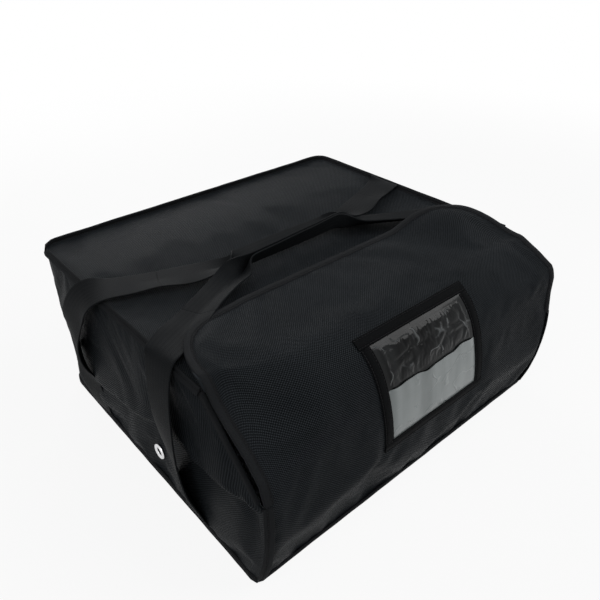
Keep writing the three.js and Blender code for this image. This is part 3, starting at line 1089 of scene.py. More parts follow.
def buildBack():
    def place(u, v):
        x = lerp(-bag["halfWidth"], bag["halfWidth"], u)
        z = lerp(bag["foot"], bag["top"], v)
        y = bag["halfDepth"] + wallSetup["backBulge"] * crown(u, v)
        return roundCorner((x, y, z))

    columns = round(2 * bag["halfWidth"] / wallSetup["step"])
    rows = round(bag["top"] / wallSetup["step"])
    return gridSheet("back_panel", columns, rows, place, (2 * bag["halfWidth"], bag["top"]), (0, 1, 0))


# How much the top's rear part stands up between its seams
def rearRise(x, y):
    start = wallSetup["rearRiseStart"]
    share = min(1, max(0, (y - start) / (bag["halfDepth"] - start)))
    across = math.cos(math.pi / 2 * min(1, abs(x) / bag["halfWidth"])) ** wallSetup["riseAcross"]
    return wallSetup["rearRise"] * math.sin(math.pi * share) ** wallSetup["riseAlong"] * across


def buildTop():
    def place(u, v):
        x = lerp(-bag["halfWidth"], bag["halfWidth"], u)
        y = lerp(bag["mouthRear"], bag["halfDepth"], v)
        sag = wallSetup["topSag"] * crown(u, v) * ease(y, *wallSetup["sagStart"])
        sag *= 1 - ease(y, *wallSetup["sagEnd"])
        z = bag["top"] - sag + rearRise(x, y)
        return roundCorner((x, y, z))

    depth = bag["halfDepth"] - bag["mouthRear"]
    columns = round(2 * bag["halfWidth"] / wallSetup["step"])
    rows = round(depth / wallSetup["step"])
    return gridSheet("top_panel", columns, rows, place, (2 * bag["halfWidth"], depth), (0, 0, 1))


# The layers at the base: how far inside the walls and how high each lies, its creases and thickness
bottomLayers = {
    "columns": 60,
    "rows": 54,
    "creaseScale": 14,
    "boardGap": 0.0002,
    "panel": (0.0, None, 0.0, 0.0009),
    "pad": (0.0075, 0.006, 0.0, 0.0058),
    "lining": (0.0075, 0.0069, 0.0012, 0.0006),
}


def buildBottom(layer, material, slot, node):
    inset, lift, creases, thick = bottomLayers[layer]
    height = 0.0 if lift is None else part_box("base_board")[1].z + bottomLayers["boardGap"] + lift

    def place(u, v):
        x = lerp(-bag["halfWidth"] + inset, bag["halfWidth"] - inset, u)
        y = lerp(-bag["halfDepth"] + inset, bag["halfDepth"] - inset, v)
        z = height - creases * abs(noise.noise(Vector((x, y, 0)) * bottomLayers["creaseScale"]))
        return roundCorner((x, y, z))

    size = (2 * bag["halfWidth"], 2 * bag["halfDepth"])
    outward = (0, 0, -1 if lift is None else 1)
    sheet = gridSheet(f"bottom_{layer}", bottomLayers["columns"], bottomLayers["rows"], place, size, outward)
    thicken(sheet, thick)
    dress(sheet, material, slot, node)
    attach(sheet, "bag")


# The long buckle across a side, by Y and Z of its line, with how far the cloth stands out above it
# and falls back below it
sideCrease = {
    "line": (
        (-0.251, 0.136), (-0.233, 0.130), (-0.181, 0.130), (-0.144, 0.124), (-0.100, 0.119),
        (-0.059, 0.112), (-0.018, 0.101), (0.024, 0.091), (0.068, 0.080), (0.091, 0.075), (0.150, 0.060),
    ),
    "out": 0.0065,
    "outReach": 0.050,
    "back": 0.0060,
    "backReach": 0.032,
    "sharp": 0.0045,
    "rearFade": (0.085, 0.150),
    "edgeFade": 0.022,
    "shares": {"left": 1.0, "right": 0.55},
}


def creaseSide(panel, wall, sign):
    depths, heights = zip(*sideCrease["line"])
    reaches = edgeReaches(panel)
    for vertex, reach in zip(panel.data.vertices, reaches):
        y, z = vertex.co.y, vertex.co.z
        above = z - float(np.interp(y, depths, heights))
        step = math.tanh(above / sideCrease["sharp"])
        if above > 0:
            move = sideCrease["out"] * step * math.exp(-above / sideCrease["outReach"])
        else:
            move = sideCrease["back"] * step * math.exp(above / sideCrease["backReach"])
        move *= 1 - ease(y, *sideCrease["rearFade"])
        move *= ease(reach, 0, sideCrease["edgeFade"]) * sideCrease["shares"][wall]
        vertex.co.x += sign * move


def nearEyelet(panel):
    spot, reach = wallSetup["eyelet"], wallSetup["eyeletHeld"]
    return {v.index for v in panel.data.vertices if math.dist((v.co.y, v.co.z), spot) < reach}


def underTape(panel):
    return {v.index for v in panel.data.vertices if v.co.y < wallSetup["tapeHeld"]}


def finishWall(piece, wall):
    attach(lineSheet(piece, f"{wall}_lining", f"{wall}_liner"), "bag")
    refine(piece)
    thicken(piece, wallSetup["foam"], pinched=True)
    smooth(piece, 60)
    dress(piece, fabric, "outer_fabric", f"{wall}_shell", f"{wall}_foam")
    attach(piece, "bag")


def buildWalls():
    for wall, sign in (("left", -1), ("right", 1)):
        panel = buildSide(f"{wall}_panel", sign)
        settle(panel, heldEdge(panel, wallSetup["sideHeld"]) | nearEyelet(panel), limit=0.006)
        creaseSide(panel, wall, sign)
        finishWall(panel, wall)
    panel = buildBack()
    settle(panel, borderOf(panel))
    finishWall(panel, "back")
    panel = buildTop()
    settle(panel, borderOf(panel) | underTape(panel), growth=0.006, limit=0.004)
    points = readPoints(panel)
    rises = np.array([rearRise(x, y) for x, y, z in points])
    points[:, 2] = np.minimum(points[:, 2], bag["top"] + wallSetup["topLimit"] + rises)
    writePoints(panel, points)
    finishWall(panel, "top")


def buildFloor():
    buildBottom("panel", fabric, "outer_fabric", "bottom_shell")
    buildBottom("pad", lining, "foam", "bottom_foam")
    buildBottom("lining", lining, "liner", "bottom_liner")
    paintNode("base_board", board)


buildWalls()
buildFloor()
print("walls made")


# Closes a mesh whose ends meet: merges its seam, fills its open ends and turns its faces outward
def closeUp(piece):
    choose(piece)
    bpy.ops.object.mode_set(mode="EDIT")
    bpy.ops.mesh.select_all(action="SELECT")
    bpy.ops.mesh.remove_doubles(threshold=1e-6)
    bpy.ops.mesh.select_all(action="SELECT")
    bpy.ops.mesh.fill_holes(sides=0)
    bpy.ops.mesh.select_all(action="SELECT")
    bpy.ops.mesh.normals_make_consistent(inside=False)
    bpy.ops.object.mode_set(mode="OBJECT")


# A sheet whose two long edges meet, closed into a body with one material
def closedSheet(name, columns, rows, place, size, material, angle):
    piece = gridSheet(name, columns, rows, place, size)
    piece.data.materials.append(material)
    closeUp(piece)
    smooth(piece, angle)
    return piece


def joinPieces(main, others):
    choose(main)
    for other in others:
        other.select_set(True)
    bpy.ops.object.join()
    return main


# Rows of numbers on a smooth path through the given rows, evenly spaced by their first three numbers
def pathThrough(rows, step):
    rows = np.array(rows, float)
    ends = np.vstack([2 * rows[0] - rows[1], rows, 2 * rows[-1] - rows[-2]])
    fine = []
    for before, start, end, after in zip(ends, ends[1:], ends[2:], ends[3:]):
        for share in np.linspace(0, 1, 16, endpoint=False):
            bend = (2 * before - 5 * start + 4 * end - after) * share ** 2
            swing = (3 * start - before - 3 * end + after) * share ** 3
            fine.append(0.5 * (2 * start + (end - before) * share + bend + swing))
    return evenRows(fine + [rows[-1]], step)


def evenRows(rows, step):
    rows = np.array(rows, float)
    reach = np.concatenate([[0], np.cumsum(np.linalg.norm(np.diff(rows[:, :3], axis=0), axis=1))])
    spaced = np.linspace(0, reach[-1], max(2, round(reach[-1] / step) + 1))
    return np.stack([np.interp(spaced, reach, column) for column in rows.T], axis=1)


# A station is a point on a band's middle, the direction across the band and the one it faces
def makeStation(middle, across, rise):
    across = Vector(across).normalized()
    rise = Vector(rise)
    rise = (rise - across * rise.dot(across)).normalized()
    return Vector(middle), across, rise


tapeShape = {
    "shares": (-1, -0.95, -0.85, -0.6, 0, 0.6, 0.85, 0.95, 1),
    "underShares": (-0.95, -0.8, 0.0, 0.8, 0.95),
    "edgePower": 8,
    "grooveDepth": 0.0009,
    "grooveHalf": 0.0013,
    "grooveClear": 1.3,
    "waver": 0.0004,
    "waverRise": 45,
    "waverAcross": 30,
    "step": 0.006,
    "pitch": 0.004,
    "threadRadius": 0.00042,
    "threadFlat": 0.8,
    "threadSides": 5,
    "threadDips": (-0.0007, 0.0001, 0.0003, 0.0001),
    "threadLift": 0.0001,
}


# The section of a rounded tape, with a groove under each of its seams
def sectionOf(width, thick, seams):
    power = tapeShape["edgePower"]
    shares = set(tapeShape["shares"])
    for seam in seams:
        middle = seam / (width / 2)
        reach = tapeShape["grooveHalf"] / (width / 2)
        shares = {share for share in shares if abs(share - middle) > reach * tapeShape["grooveClear"]}
        shares |= {middle - reach, middle - reach / 2, middle, middle + reach / 2, middle + reach}
    ring = []
    for share in sorted(shares, reverse=True):
        rise = thick / 2 * math.sqrt(max(0.0, 1 - abs(share) ** power))
        for seam in seams:
            away = abs(share * width / 2 - seam) / tapeShape["grooveHalf"]
            rise -= tapeShape["grooveDepth"] * max(0.0, 1 - away)
        ring.append((share * width / 2, rise))
    for share in tapeShape["underShares"]:
        ring.append((share * width / 2, -thick / 2 * math.sqrt(1 - abs(share) ** power)))
    return ring


# Stations that stray a little, as sewn tape does
def waver(stations):
    amount = tapeShape["waver"]
    moved = []
    for middle, across, rise in stations:
        up = rise * noise.noise(middle * tapeShape["waverRise"]) * amount
        side = across * noise.noise(middle * tapeShape["waverAcross"]) * amount
        moved.append((middle + up + side, across, rise))
    return moved


def tapeBand(name, stations, width, thick, seams):
    ring = sectionOf(width, thick, seams)
    count = len(stations)
    length = sum((b[0] - a[0]).length for a, b in zip(stations, stations[1:]))

    def place(u, v):
        middle, across, rise = stations[round(v * (count - 1))]
        side, up = ring[round(u * len(ring)) % len(ring)]
        return middle + across * side + rise * up

    return closedSheet(name, len(ring), count - 1, place, (2 * (width + thick), length), tape, 50)


# A thread that dips under the cloth once in every stitch
def sewLine(name, stations, side, lift):
    rows = [(*(middle + across * side), *across, *rise) for middle, across, rise in stations]
    rows = evenRows(rows, tapeShape["pitch"] / 4)
    dips = tapeShape["threadDips"]
    sides = tapeShape["threadSides"]
    radius = tapeShape["threadRadius"]

    def place(u, v):
        index = round(v * (len(rows) - 1))
        row = rows[index]
        angle = 2 * math.pi * (round(u * sides) % sides) / sides
        across, rise = Vector(row[3:6]), Vector(row[6:9])
        up = lift + dips[index % 4] + radius * tapeShape["threadFlat"] * math.sin(angle)
        return Vector(row[:3]) + across * radius * math.cos(angle) + rise * up

    return closedSheet(name, sides, len(rows) - 1, place, (0.002, 0.001), thread, 80)


def sewnBand(name, stations, width, thick, seams):
    stations = waver(stations)
    band = tapeBand(name, stations, width, thick, seams)
    lift = thick / 2 - tapeShape["grooveDepth"] + tapeShape["threadLift"]
    lines = [sewLine(f"{name}_thread", stations, seam, lift) for seam in seams]
    joinPieces(band, lines)
    return band


# A bound seam on the bag itself, in the shape that its dictionary gives
def bagSeam(name, stations, shape, *replaced):
    band = sewnBand(name, stations, shape["width"], shape["thick"], shape["seams"])
    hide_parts(*replaced)
    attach(band, "bag")


cornerSteps = 7


# The box's outline in plan with its outward direction, anticlockwise from the right rear corner
def boxOutline(rearRadius, frontRadius):
    rows = []
    for quarter, (signX, signY) in enumerate(((1, 1), (-1, 1), (-1, -1), (1, -1))):
        radius = rearRadius if signY > 0 else frontRadius
        for share in np.linspace(0, 1, cornerSteps):
            angle = math.pi / 2 * (quarter + share)
            outX, outY = math.cos(angle), math.sin(angle)
            x = signX * (bag["halfWidth"] - radius) + radius * outX
            y = signY * (bag["halfDepth"] - radius) + radius * outY
            rows.append((x, y, 0.0, outX, outY))
    return rows


seamFrontRadius = 0.006
baseSeam = {
    "width": 0.0125,
    "thick": 0.0028,
    "seams": (0.0035, -0.0022),
    "middle": 0.006,
    "lean": 0.37,
    "forward": 0.0022,
    "out": 0.0013,
}


def buildBaseSeam():
    rows = boxOutline(cornerRadius(baseSeam["middle"]), seamFrontRadius)
    stations = []
    for x, y, z, outX, outY in evenRows(rows + rows[:1], tapeShape["step"]):
        front = max(0.0, -outY) ** 2
        lean = baseSeam["lean"] * front
        outward = Vector((outX, outY, 0)).normalized()
        middle = Vector((x, y - baseSeam["forward"] * front, baseSeam["width"] / 2))
        stations.append(makeStation(middle + outward * baseSeam["out"], (0, -lean, 1), outward))
    stations[-1] = stations[0]
    names = [f"base_binding_{side}" for side in ("left", "right", "back", "front")]
    bagSeam("base_seam", stations, baseSeam, *names)


# The seam on the top edges lies over the left side, stands up at the back and leans out on the right
topSeam = {
    "width": 0.010,
    "thick": 0.0028,
    "seams": (-0.001,),
    "sink": 0.0005,
    "inside": 0.0020,
    "left": ((-0.55, 0.0, -0.83), (-0.83, 0.0, 0.55)),
    "back": ((0.0, -0.25, 0.95), (0.0, -0.95, -0.25)),
    "right": ((0.55, 0.0, 0.80), (-0.80, 0.0, 0.55)),
}


def buildTopSeam():
    corners = boxOutline(wallSetup["cornerRadius"], seamFrontRadius)[:2 * cornerSteps]
    start = (bag["halfWidth"], bag["mouthRear"], 0.0, 1.0, 0.0)
    end = (-bag["halfWidth"], bag["mouthRear"], 0.0, -1.0, 0.0)
    stations = []
    for x, y, z, outX, outY in evenRows([start, *corners, end], tapeShape["step"]):
        shares = {"left": max(0.0, -outX) ** 2, "back": max(0.0, outY) ** 2, "right": max(0.0, outX) ** 2}
        lay, face = (
            sum((Vector(topSeam[side][part]) * share for side, share in shares.items()), Vector())
            for part in (0, 1)
        )
        lay = lay.normalized()
        root = Vector((x, y, bag["top"] - topSeam["sink"]))
        middle = root + lay * (topSeam["width"] / 2 - topSeam["inside"])
        stations.append(makeStation(middle, lay, face))
    bagSeam("top_seam", stations, topSeam, "top_binding")


# The upright seams: the front ones stand out at the corners, and the rear ones lie round them
frontSeam = {
    "width": 0.011,
    "thick": 0.0026,
    "seams": (-0.001,),
    "foot": 0.011,
    "steps": 24,
    "inside": 0.0005,
    "lay": (0.9, 0.45),
    "out": 0.0045,
}
rearSeam = {"width": 0.011, "thick": 0.0026, "seams": (0.0,), "foot": 0.010, "steps": 34}
seamEnd = 0.001


def buildCornerSeams():
    layX, layY = frontSeam["lay"]
    for side, sign in (("left", -1), ("right", 1)):
        stations = []
        for z in np.linspace(frontSeam["foot"], bag["hinge"].z - seamEnd, frontSeam["steps"]):
            root = Vector((sign * (bag["halfWidth"] - frontSeam["inside"]), wallFront(z) + seamEnd, z))
            across = Vector((-sign * layX, -layY, 0)).normalized()
            stations.append(makeStation(root + across * frontSeam["out"], across, (sign * layY, -layX, 0)))
        bagSeam(f"front_seam_{side}", stations, frontSeam, f"front_seam_binding_{side}")
        stations = []
        for z in np.linspace(rearSeam["foot"], bag["top"] - seamEnd, rearSeam["steps"]):
            radius = cornerRadius(z)
            reach = radius * math.sqrt(0.5)
            x = sign * (bag["halfWidth"] - radius + reach)
            y = bag["halfDepth"] - radius + reach
            stations.append(makeStation((x, y, z), (sign, -1, 0), (sign, 1, 0)))
        bagSeam(f"rear_seam_{side}", stations, rearSeam, f"back_seam_binding_{side}")


# The mouth's edge on each side, and across the front of the top
def buildMouth():
    low = Vector((0, mouthFoot.y, mouthFoot.z))
    high = Vector((0, bag["mouthRear"], bag["top"] - mouthSeam["headDrop"]))
    along = (high - low).normalized()
    inward = Vector((0, along.z, -along.y))
    inset, sink = mouthSeam["inset"], mouthSeam["sink"]
    for side, sign in (("left", -1), ("right", 1)):
        stations = []
        for share in np.linspace(0, 1, mouthSeam["sideSteps"]):
            middle = low.lerp(high, share) + inward * inset
            middle.x = sign * (bag["halfWidth"] - sink)
            stations.append(makeStation(middle, inward, (sign, 0, 0)))
        bagSeam(f"mouth_edge_{side}", stations, mouthSeam, f"mouth_binding_{side}")
    y, z = bag["mouthRear"] + inset, bag["top"] - sink
    reach = bag["halfWidth"] - seamEnd
    stations = [
        makeStation((x, y, z), (0, 1, 0), (0, 0, 1))
        for x in np.linspace(-reach, reach, mouthSeam["topSteps"])
    ]
    bagSeam("mouth_edge_top", stations, mouthSeam, "mouth_binding_top")


# A station on the front or the flap: its place, and the direction in the sheet that it lies across
def frontStation(x, length, acrossX, acrossLength, height):
    step = frontSheet["normalStep"]
    ahead = frontPoint(x + acrossX * step, length + acrossLength * step)
    behind = frontPoint(x - acrossX * step, length - acrossLength * step)
    return makeStation(frontAt(x, length, height), ahead - behind, frontNormal(x, length))


# The flap's edge from the left hinge end round to the right one, with its inward direction
def flapOutline():
    radius = frontSheet["cornerRadius"]
    half = bag["flapHalf"]
    rows = [(-half, hingeLength, 0.0, 1.0, 0.0), (-half, lineEnd - radius, 0.0, 1.0, 0.0)]
    for angle in np.linspace(0, math.pi / 2, 2 * cornerSteps - 1):
        x = -half + radius - radius * math.cos(angle)
        length = lineEnd - radius + radius * math.sin(angle)
        rows.append((x, length, 0.0, math.cos(angle), -math.sin(angle)))
    mirrored = [(-x, length, z, -inX, inLength) for x, length, z, inX, inLength in reversed(rows)]
    return evenRows(rows + mirrored, tapeShape["step"])


flapSeam = {"width": 0.0115, "thick": 0.0047, "seams": (0.0030,), "inset": 0.0047, "raised": 0.0012}


# The flap's edge is cut at the split into its two ends and the part between them
def buildFlapEdge():
    inset, thick = flapSeam["inset"], flapSeam["thick"]
    height = flapSeam["raised"] - thick / 2
    stations = []
    beyond = []
    for index, (x, length, z, inX, inLength) in enumerate(flapOutline()):
        if length > frontSheet["split"]:
            beyond.append(index)
        stations.append(frontStation(x + inX * inset, length + inLength * inset, inX, inLength, height))
    first, last = beyond[0], beyond[-1]
    for name, part, node, bend in (
        ("flap_edge_left", stations[:first + 1], "flap_front_binding_left", bendLower),
        ("flap_edge", stations[first:last + 1], "flap_top_binding", bendUpper),
        ("flap_edge_right", stations[last:], "flap_front_binding_right", bendLower),
    ):
        band = sewnBand(name, part, flapSeam["width"], thick, flapSeam["seams"])
        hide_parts(node)
        bend(band)


buildBaseSeam()
buildTopSeam()
buildCornerSeams()
buildMouth()
buildFlapEdge()
print("bound seams made")


pocketTape = {
    "width": 0.014,
    "thick": 0.0018,
    "height": 0.0010,
    "seams": (0.005, -0.005),
    "step": 0.005,
}


# A strip of the pocket's frame between two points of the front sheet
def pocketStrip(name, start, end):
    start, end = np.array(start), np.array(end)
    along = (end - start) / np.linalg.norm(end - start)
    count = max(2, round(float(np.linalg.norm(end - start)) / pocketTape["step"]) + 1)
    stations = []
    for share in np.linspace(0, 1, count):
        x, length = start + (end - start) * share
        stations.append(frontStation(x, length, -along[1], along[0], pocketTape["height"]))
    strip = sewnBand(name, stations, pocketTape["width"], pocketTape["thick"], pocketTape["seams"])
    # The frame gets the darker tape, which carries painted shade
    strip.data.materials[0] = shadedFrameTape
    return strip


def pocketCorner(side, length):
    return (pocketMiddle(length) + side * (pocketShape["half"] - pocketTape["width"] / 2), length)


def buildPocketFrame():
    foot = pocketFoot + pocketTape["width"] / 2
    head = pocketShape["head"] - pocketTape["width"] / 2
    split = frontSheet["split"]
    half = pocketTape["width"] / 2

    def acrossStrip(name, length):
        left = (pocketCorner(-1, length)[0] - half, length)
        right = (pocketCorner(1, length)[0] + half, length)
        return pocketStrip(name, left, right)

    lower = acrossStrip("pocket_frame_foot", foot)
    upper = acrossStrip("pocket_frame_head", head)
    joinPieces(lower, [
        pocketStrip("low_side", pocketCorner(side, foot + half), pocketCorner(side, split))
        for side in (-1, 1)
    ])
    joinPieces(upper, [
        pocketStrip("high_side", pocketCorner(side, split), pocketCorner(side, head - half))
        for side in (-1, 1)
    ])
    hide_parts("pocket_frame_lower")
    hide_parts(*[f"pocket_frame_{part}" for part in ("left", "right", "top")])
    bendLower(lower)
    bendUpper(upper)


# The pairs for ends, sides, foot and head say where a film begins to rise and where it is whole
filmShape = {
    "inset": 0.009,
    "thick": 0.0004,
    "overlap": 0.008,
    "wave": 0.0035,
    "waves": ((9.4, 0.0, 0.5), (23.0, 1.0, 0.28), (41.0, 0.0, 0.12)),
    "lowFilmGrid": (70, 30),
    "lowFilmLength": 0.06,
    "lowFilmEnds": (0.75, 1.0),
    "lowFilmSides": (0.02, 0.09),
    "lowFilmFoot": (0.03, 0.2),
    "lowFilmLift": 0.0002,
    "lowFilmHeight": 0.0008,
    "lowFilmFolds": 0.0006,
    "lowFilmLip": 0.0010,
    "clearGrid": (84, 46),
    "clearLength": 0.08,
    "clearHead": (0.0, 0.15),
    "clearFoot": (0.12, 0.4),
    "clearLift": 0.0003,
    "clearBulge": 0.0008,
    "clearHeld": 0.012,
    "clearCloth": {"growth": 0.03, "bending": 0.03, "limit": 0.0025, "frames": 14},
}


# The upper edge of the window's lower film, whose light grey is a painted reflection
def reflectionEdge(u):
    wave = sum(math.sin(u * turns + start) * share for turns, start, share in filmShape["waves"])
    return pocketShape["filmSplit"] + filmShape["wave"] * wave


def buildFilms():
    inset = filmShape["inset"]
    low = pocketFoot + inset
    high = pocketShape["head"] - inset

    def filmX(u, length):
        reach = pocketShape["half"] - inset
        return pocketMiddle(length) + lerp(-reach, reach, u)

    def lower(u, v):
        length = lerp(low, reflectionEdge(u), v)
        lip = filmShape["lowFilmLip"] * ease(v, *filmShape["lowFilmEnds"])
        inner = ease(min(u, 1 - u), *filmShape["lowFilmSides"]) * ease(v, *filmShape["lowFilmFoot"])
        fold = filmShape["lowFilmFolds"] * noise.noise(Vector((u * 5, v * 3, 0)))
        height = filmShape["lowFilmHeight"] + fold + lip
        return frontAt(filmX(u, length), length, filmShape["lowFilmLift"] + height * inner)

    def upper(u, v):
        length = lerp(pocketShape["filmSplit"] - filmShape["overlap"], high, v)
        bulge = math.sin(math.pi * u) ** 0.5 * ease(1 - v, *filmShape["clearHead"])
        bulge *= ease(v, *filmShape["clearFoot"])
        return frontAt(filmX(u, length), length, filmShape["clearLift"] + filmShape["clearBulge"] * bulge)

    width = 2 * (pocketShape["half"] - inset)
    hazySize = (width, filmShape["lowFilmLength"])
    clearSize = (width, filmShape["clearLength"])
    paintedReflection = gridSheet("pocket_film_reflection", *filmShape["lowFilmGrid"], lower, hazySize, (0, -1, 0))
    clear = gridSheet("pocket_film_clear", *filmShape["clearGrid"], upper, clearSize, (0, -1, 0))
    rest = readPoints(clear)
    normals = np.array([tuple(vertex.normal) for vertex in clear.data.vertices])
    settle(clear, heldEdge(clear, filmShape["clearHeld"]), **filmShape["clearCloth"])
    shift = readPoints(clear) - rest
    rise = np.einsum("ij,ij->i", shift, normals)
    writePoints(clear, rest + normals * np.abs(rise)[:, None])
    for film, material, node in (
        (paintedReflection, floorReflectionFilm, "pocket_film_lower"), (clear, clearFilm, "pocket_film_upper"),
    ):
        refine(film)
        thicken(film, filmShape["thick"])
        smooth(film, 60)
        dress(film, material, "window_film", node)
    bendLower(paintedReflection)
    bendUpper(clear)


buildPocketFrame()
buildFilms()
print("pocket made")


strapShape = {
    "width": 0.05,
    "columns": 12,
    "thick": 0.0019,
    "step": 0.006,
    "fold": 86,
    "foldRound": 0.004,
    "foldFloor": 0.5,
    "rightReach": 0.6,
    "edge": (0.262, 0.232),
    "gripStart": (0.190, 0.2385),
    "tiltSpread": 0.045,
    "bevel": 0.0005,
    "bevelAngle": 60,
}

# The left half of the front strap: X, Y, Z of its middle, half its width, its fold, the fold's turn
# and the direction it faces
frontStrap = {
    "name": "front",
    "rows": (
        (-0.2570, -0.1180, 0.0090, 0.025, 0.0, 0, -1.0, -0.02, 0.0),
        (-0.2630, -0.1180, 0.0400, 0.025, 0.0, 0, -1.0, 0.16, 0.1),
        (-0.2710, -0.1160, 0.0800, 0.025, 0.0, 0, -1.0, 0.32, 0.0),
        (-0.2770, -0.1120, 0.1250, 0.025, 0.0, 0, -1.0, 0.24, 0.0),
        (-0.2770, -0.1060, 0.1700, 0.0245, 0.0, 0, -1.0, 0.08, 0.0),
        (-0.2710, -0.0980, 0.2080, 0.024, 0.0, 0, -1.0, 0.0, 0.05),
        (-0.2630, -0.0925, 0.2330, 0.024, 0.0, 0, -0.9, 0.0, 0.5),
        (-0.2540, -0.0885, 0.2390, 0.024, 0.0, 0, -0.3, 0.0, 1.0),
        (-0.2300, -0.0760, 0.2395, 0.024, 0.05, 0, 0.0, 0.0, 1.0),
        (-0.2000, -0.0600, 0.2385, 0.024, 0.15, 5, 0.0, 0.1, 1.0),
        (-0.1700, -0.0440, 0.2385, 0.024, 0.22, 8, 0.0, 0.1, 1.0),
        (-0.1350, -0.0270, 0.2390, 0.025, 0.22, 8, 0.0, 0.1, 1.0),
        (-0.1080, -0.0150, 0.2400, 0.025, 0.30, 0, 0.0, 0.05, 1.0),
        (-0.0900, -0.0085, 0.2425, 0.025, 0.80, -12, 0.0, 0.0, 1.0),
        (-0.0760, -0.0055, 0.2455, 0.025, 1.0, -26, 0.0, 0.0, 1.0),
        (-0.0350, -0.0045, 0.2460, 0.025, 1.0, -22, 0.0, 0.0, 1.0),
        (0.0000, -0.0035, 0.2462, 0.025, 1.0, -16, 0.0, 0.0, 1.0),
    ),
    "gripTilt": (0.0760, 20, 0.0015, 0.005),
}

rearStrap = {
    "name": "rear",
    "rows": (
        (-0.2570, 0.1290, 0.0090, 0.025, 0.0, 0, -1.0, 0.0, 0.0),
        (-0.2620, 0.1360, 0.0480, 0.025, 0.0, 0, -1.0, -0.15, 0.0),
        (-0.2660, 0.1360, 0.0850, 0.0245, 0.0, 0, -1.0, -0.05, 0.2),
        (-0.2700, 0.1290, 0.1160, 0.0235, 0.0, 0, -1.0, 0.25, 0.3),
        (-0.2760, 0.1210, 0.1430, 0.0225, 0.0, 0, -1.0, 0.35, -0.15),
        (-0.2800, 0.1110, 0.1740, 0.0235, 0.0, 0, -1.0, 0.1, -0.1),
        (-0.2755, 0.0950, 0.2060, 0.0245, 0.0, 0, -1.0, 0.0, 0.2),
        (-0.2680, 0.0800, 0.2270, 0.0245, 0.0, 0, -0.8, 0.0, 0.6),
        (-0.2570, 0.0690, 0.2372, 0.024, 0.0, 0, -0.4, 0.0, 0.9),
        (-0.2430, 0.0620, 0.2388, 0.024, 0.0, 0, 0.0, 0.0, 1.0),
        (-0.2160, 0.0525, 0.2375, 0.0215, 0.0, 0, 0.0, 0.0, 1.0),
        (-0.1850, 0.0420, 0.2370, 0.022, 0.05, 5, 0.0, 0.0, 1.0),
        (-0.1510, 0.0290, 0.2368, 0.0225, 0.0, 0, 0.0, 0.0, 1.0),
        (-0.1220, 0.0215, 0.2368, 0.0200, 0.1, 4, 0.0, 0.0, 1.0),
        (-0.1000, 0.0190, 0.2372, 0.0200, 0.4, 20, 0.0, 0.0, 1.0),
        (-0.0840, 0.0190, 0.2385, 0.0220, 0.85, 58, 0.0, 0.0, 1.0),
        (-0.0700, 0.0200, 0.2400, 0.0245, 1.0, 84, 0.0, 0.0, 1.0),
        (0.0000, 0.0205, 0.2400, 0.025, 1.0, 84, 0.0, 0.0, 1.0),
    ),
    "gripTilt": (0.0740, 0, 0.0, 0.0),
}


def strapStations(setup):
    half = [list(row) for row in setup["rows"]]
    reach, turn, lift, shift = setup["gripTilt"]
    mirrored = []
    for row in reversed(half[:-1]):
        x = -row[0]
        if x > bag["halfWidth"]:
            x = lerp(bag["halfWidth"], x, strapShape["rightReach"])
        row = [x, *row[1:6], -row[6], *row[7:]]
        near = math.exp(-((row[0] - reach) / strapShape["tiltSpread"]) ** 2)
        row[5] += turn * near
        row[2] += lift * near
        row[1] += shift * near
        mirrored.append(row)
    rows = pathThrough(half + mirrored, strapShape["step"])
    stations = []
    for index, row in enumerate(rows):
        ahead = rows[min(index + 1, len(rows) - 1)][:3]
        behind = rows[max(index - 1, 0)][:3]
        tangent = Vector(ahead - behind).normalized()
        face = Vector(row[6:9])
        across = tangent.cross(face).normalized()
        rise = across.cross(tangent).normalized()
        stations.append((Vector(row[:3]), across, rise, row[3], row[4], math.radians(row[5])))
    return stations


# One point across a strap that may be folded lengthwise with its edges up
def strapPoint(station, share):
    middle, across, rise, half, fold, turn = station
    angle = math.radians(strapShape["fold"]) * min(1.0, max(0.0, fold))
    side = share * half * math.cos(angle)
    rounded = math.sqrt(share * share + strapShape["foldRound"]) - strapShape["foldFloor"]
    up = rounded * half * math.sin(angle)
    turnedSide = side * math.cos(turn) - up * math.sin(turn)
    turnedUp = side * math.sin(turn) + up * math.cos(turn)
    return middle + across * turnedSide + rise * turnedUp


def strapRibbon(name, stations):
    count = len(stations)
    columns = strapShape["columns"]

    def place(u, v):
        return strapPoint(stations[round(v * (count - 1))], 2 * u - 1)

    length = sum((b[0] - a[0]).length for a, b in zip(stations, stations[1:]))
    ribbon = gridSheet(name, columns, count - 1, place, (strapShape["width"], length))
    refine(ribbon)
    solid = ribbon.modifiers.new("Solidify", "SOLIDIFY")
    solid.thickness = strapShape["thick"]
    solid.offset = 0.0
    bevel = ribbon.modifiers.new("Bevel", "BEVEL")
    bevel.width = strapShape["bevel"]
    bevel.segments = 2
    bevel.limit_method = "ANGLE"
    bevel.angle_limit = math.radians(strapShape["bevelAngle"])
    applyModifiers(ribbon)
    closeUp(ribbon)
    smooth(ribbon, 50)
    dress(ribbon, webbing, "webbing")
    return ribbon


def buildStrap(setup, turnY):
    name = setup["name"]
    stations = strapStations(setup)
    edgeX, edgeZ = strapShape["edge"]
    gripX, gripZ = strapShape["gripStart"]
    first = next(index for index, station in enumerate(stations) if station[0].x > -gripX)
    last = next(index for index, station in enumerate(stations) if station[0].x > gripX)
    body = f"handle_{name}"
    for side, sign, part in (("left", -1, stations[:first + 1]), ("right", 1, stations[last:])):
        ribbon = strapRibbon(f"{name}_strap_run_{side}", part)
        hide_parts(f"{name}_strap_{side}")
        start = (sign * edgeX, turnY, edgeZ)
        end = (sign * (gripX + strapShape["step"]), turnY, gripZ)
        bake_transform(ribbon)
    handle = strapRibbon(f"{name}_handle_webbing", stations[first:last + 1])
    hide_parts(f"{name}_handle")
    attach(handle, body)


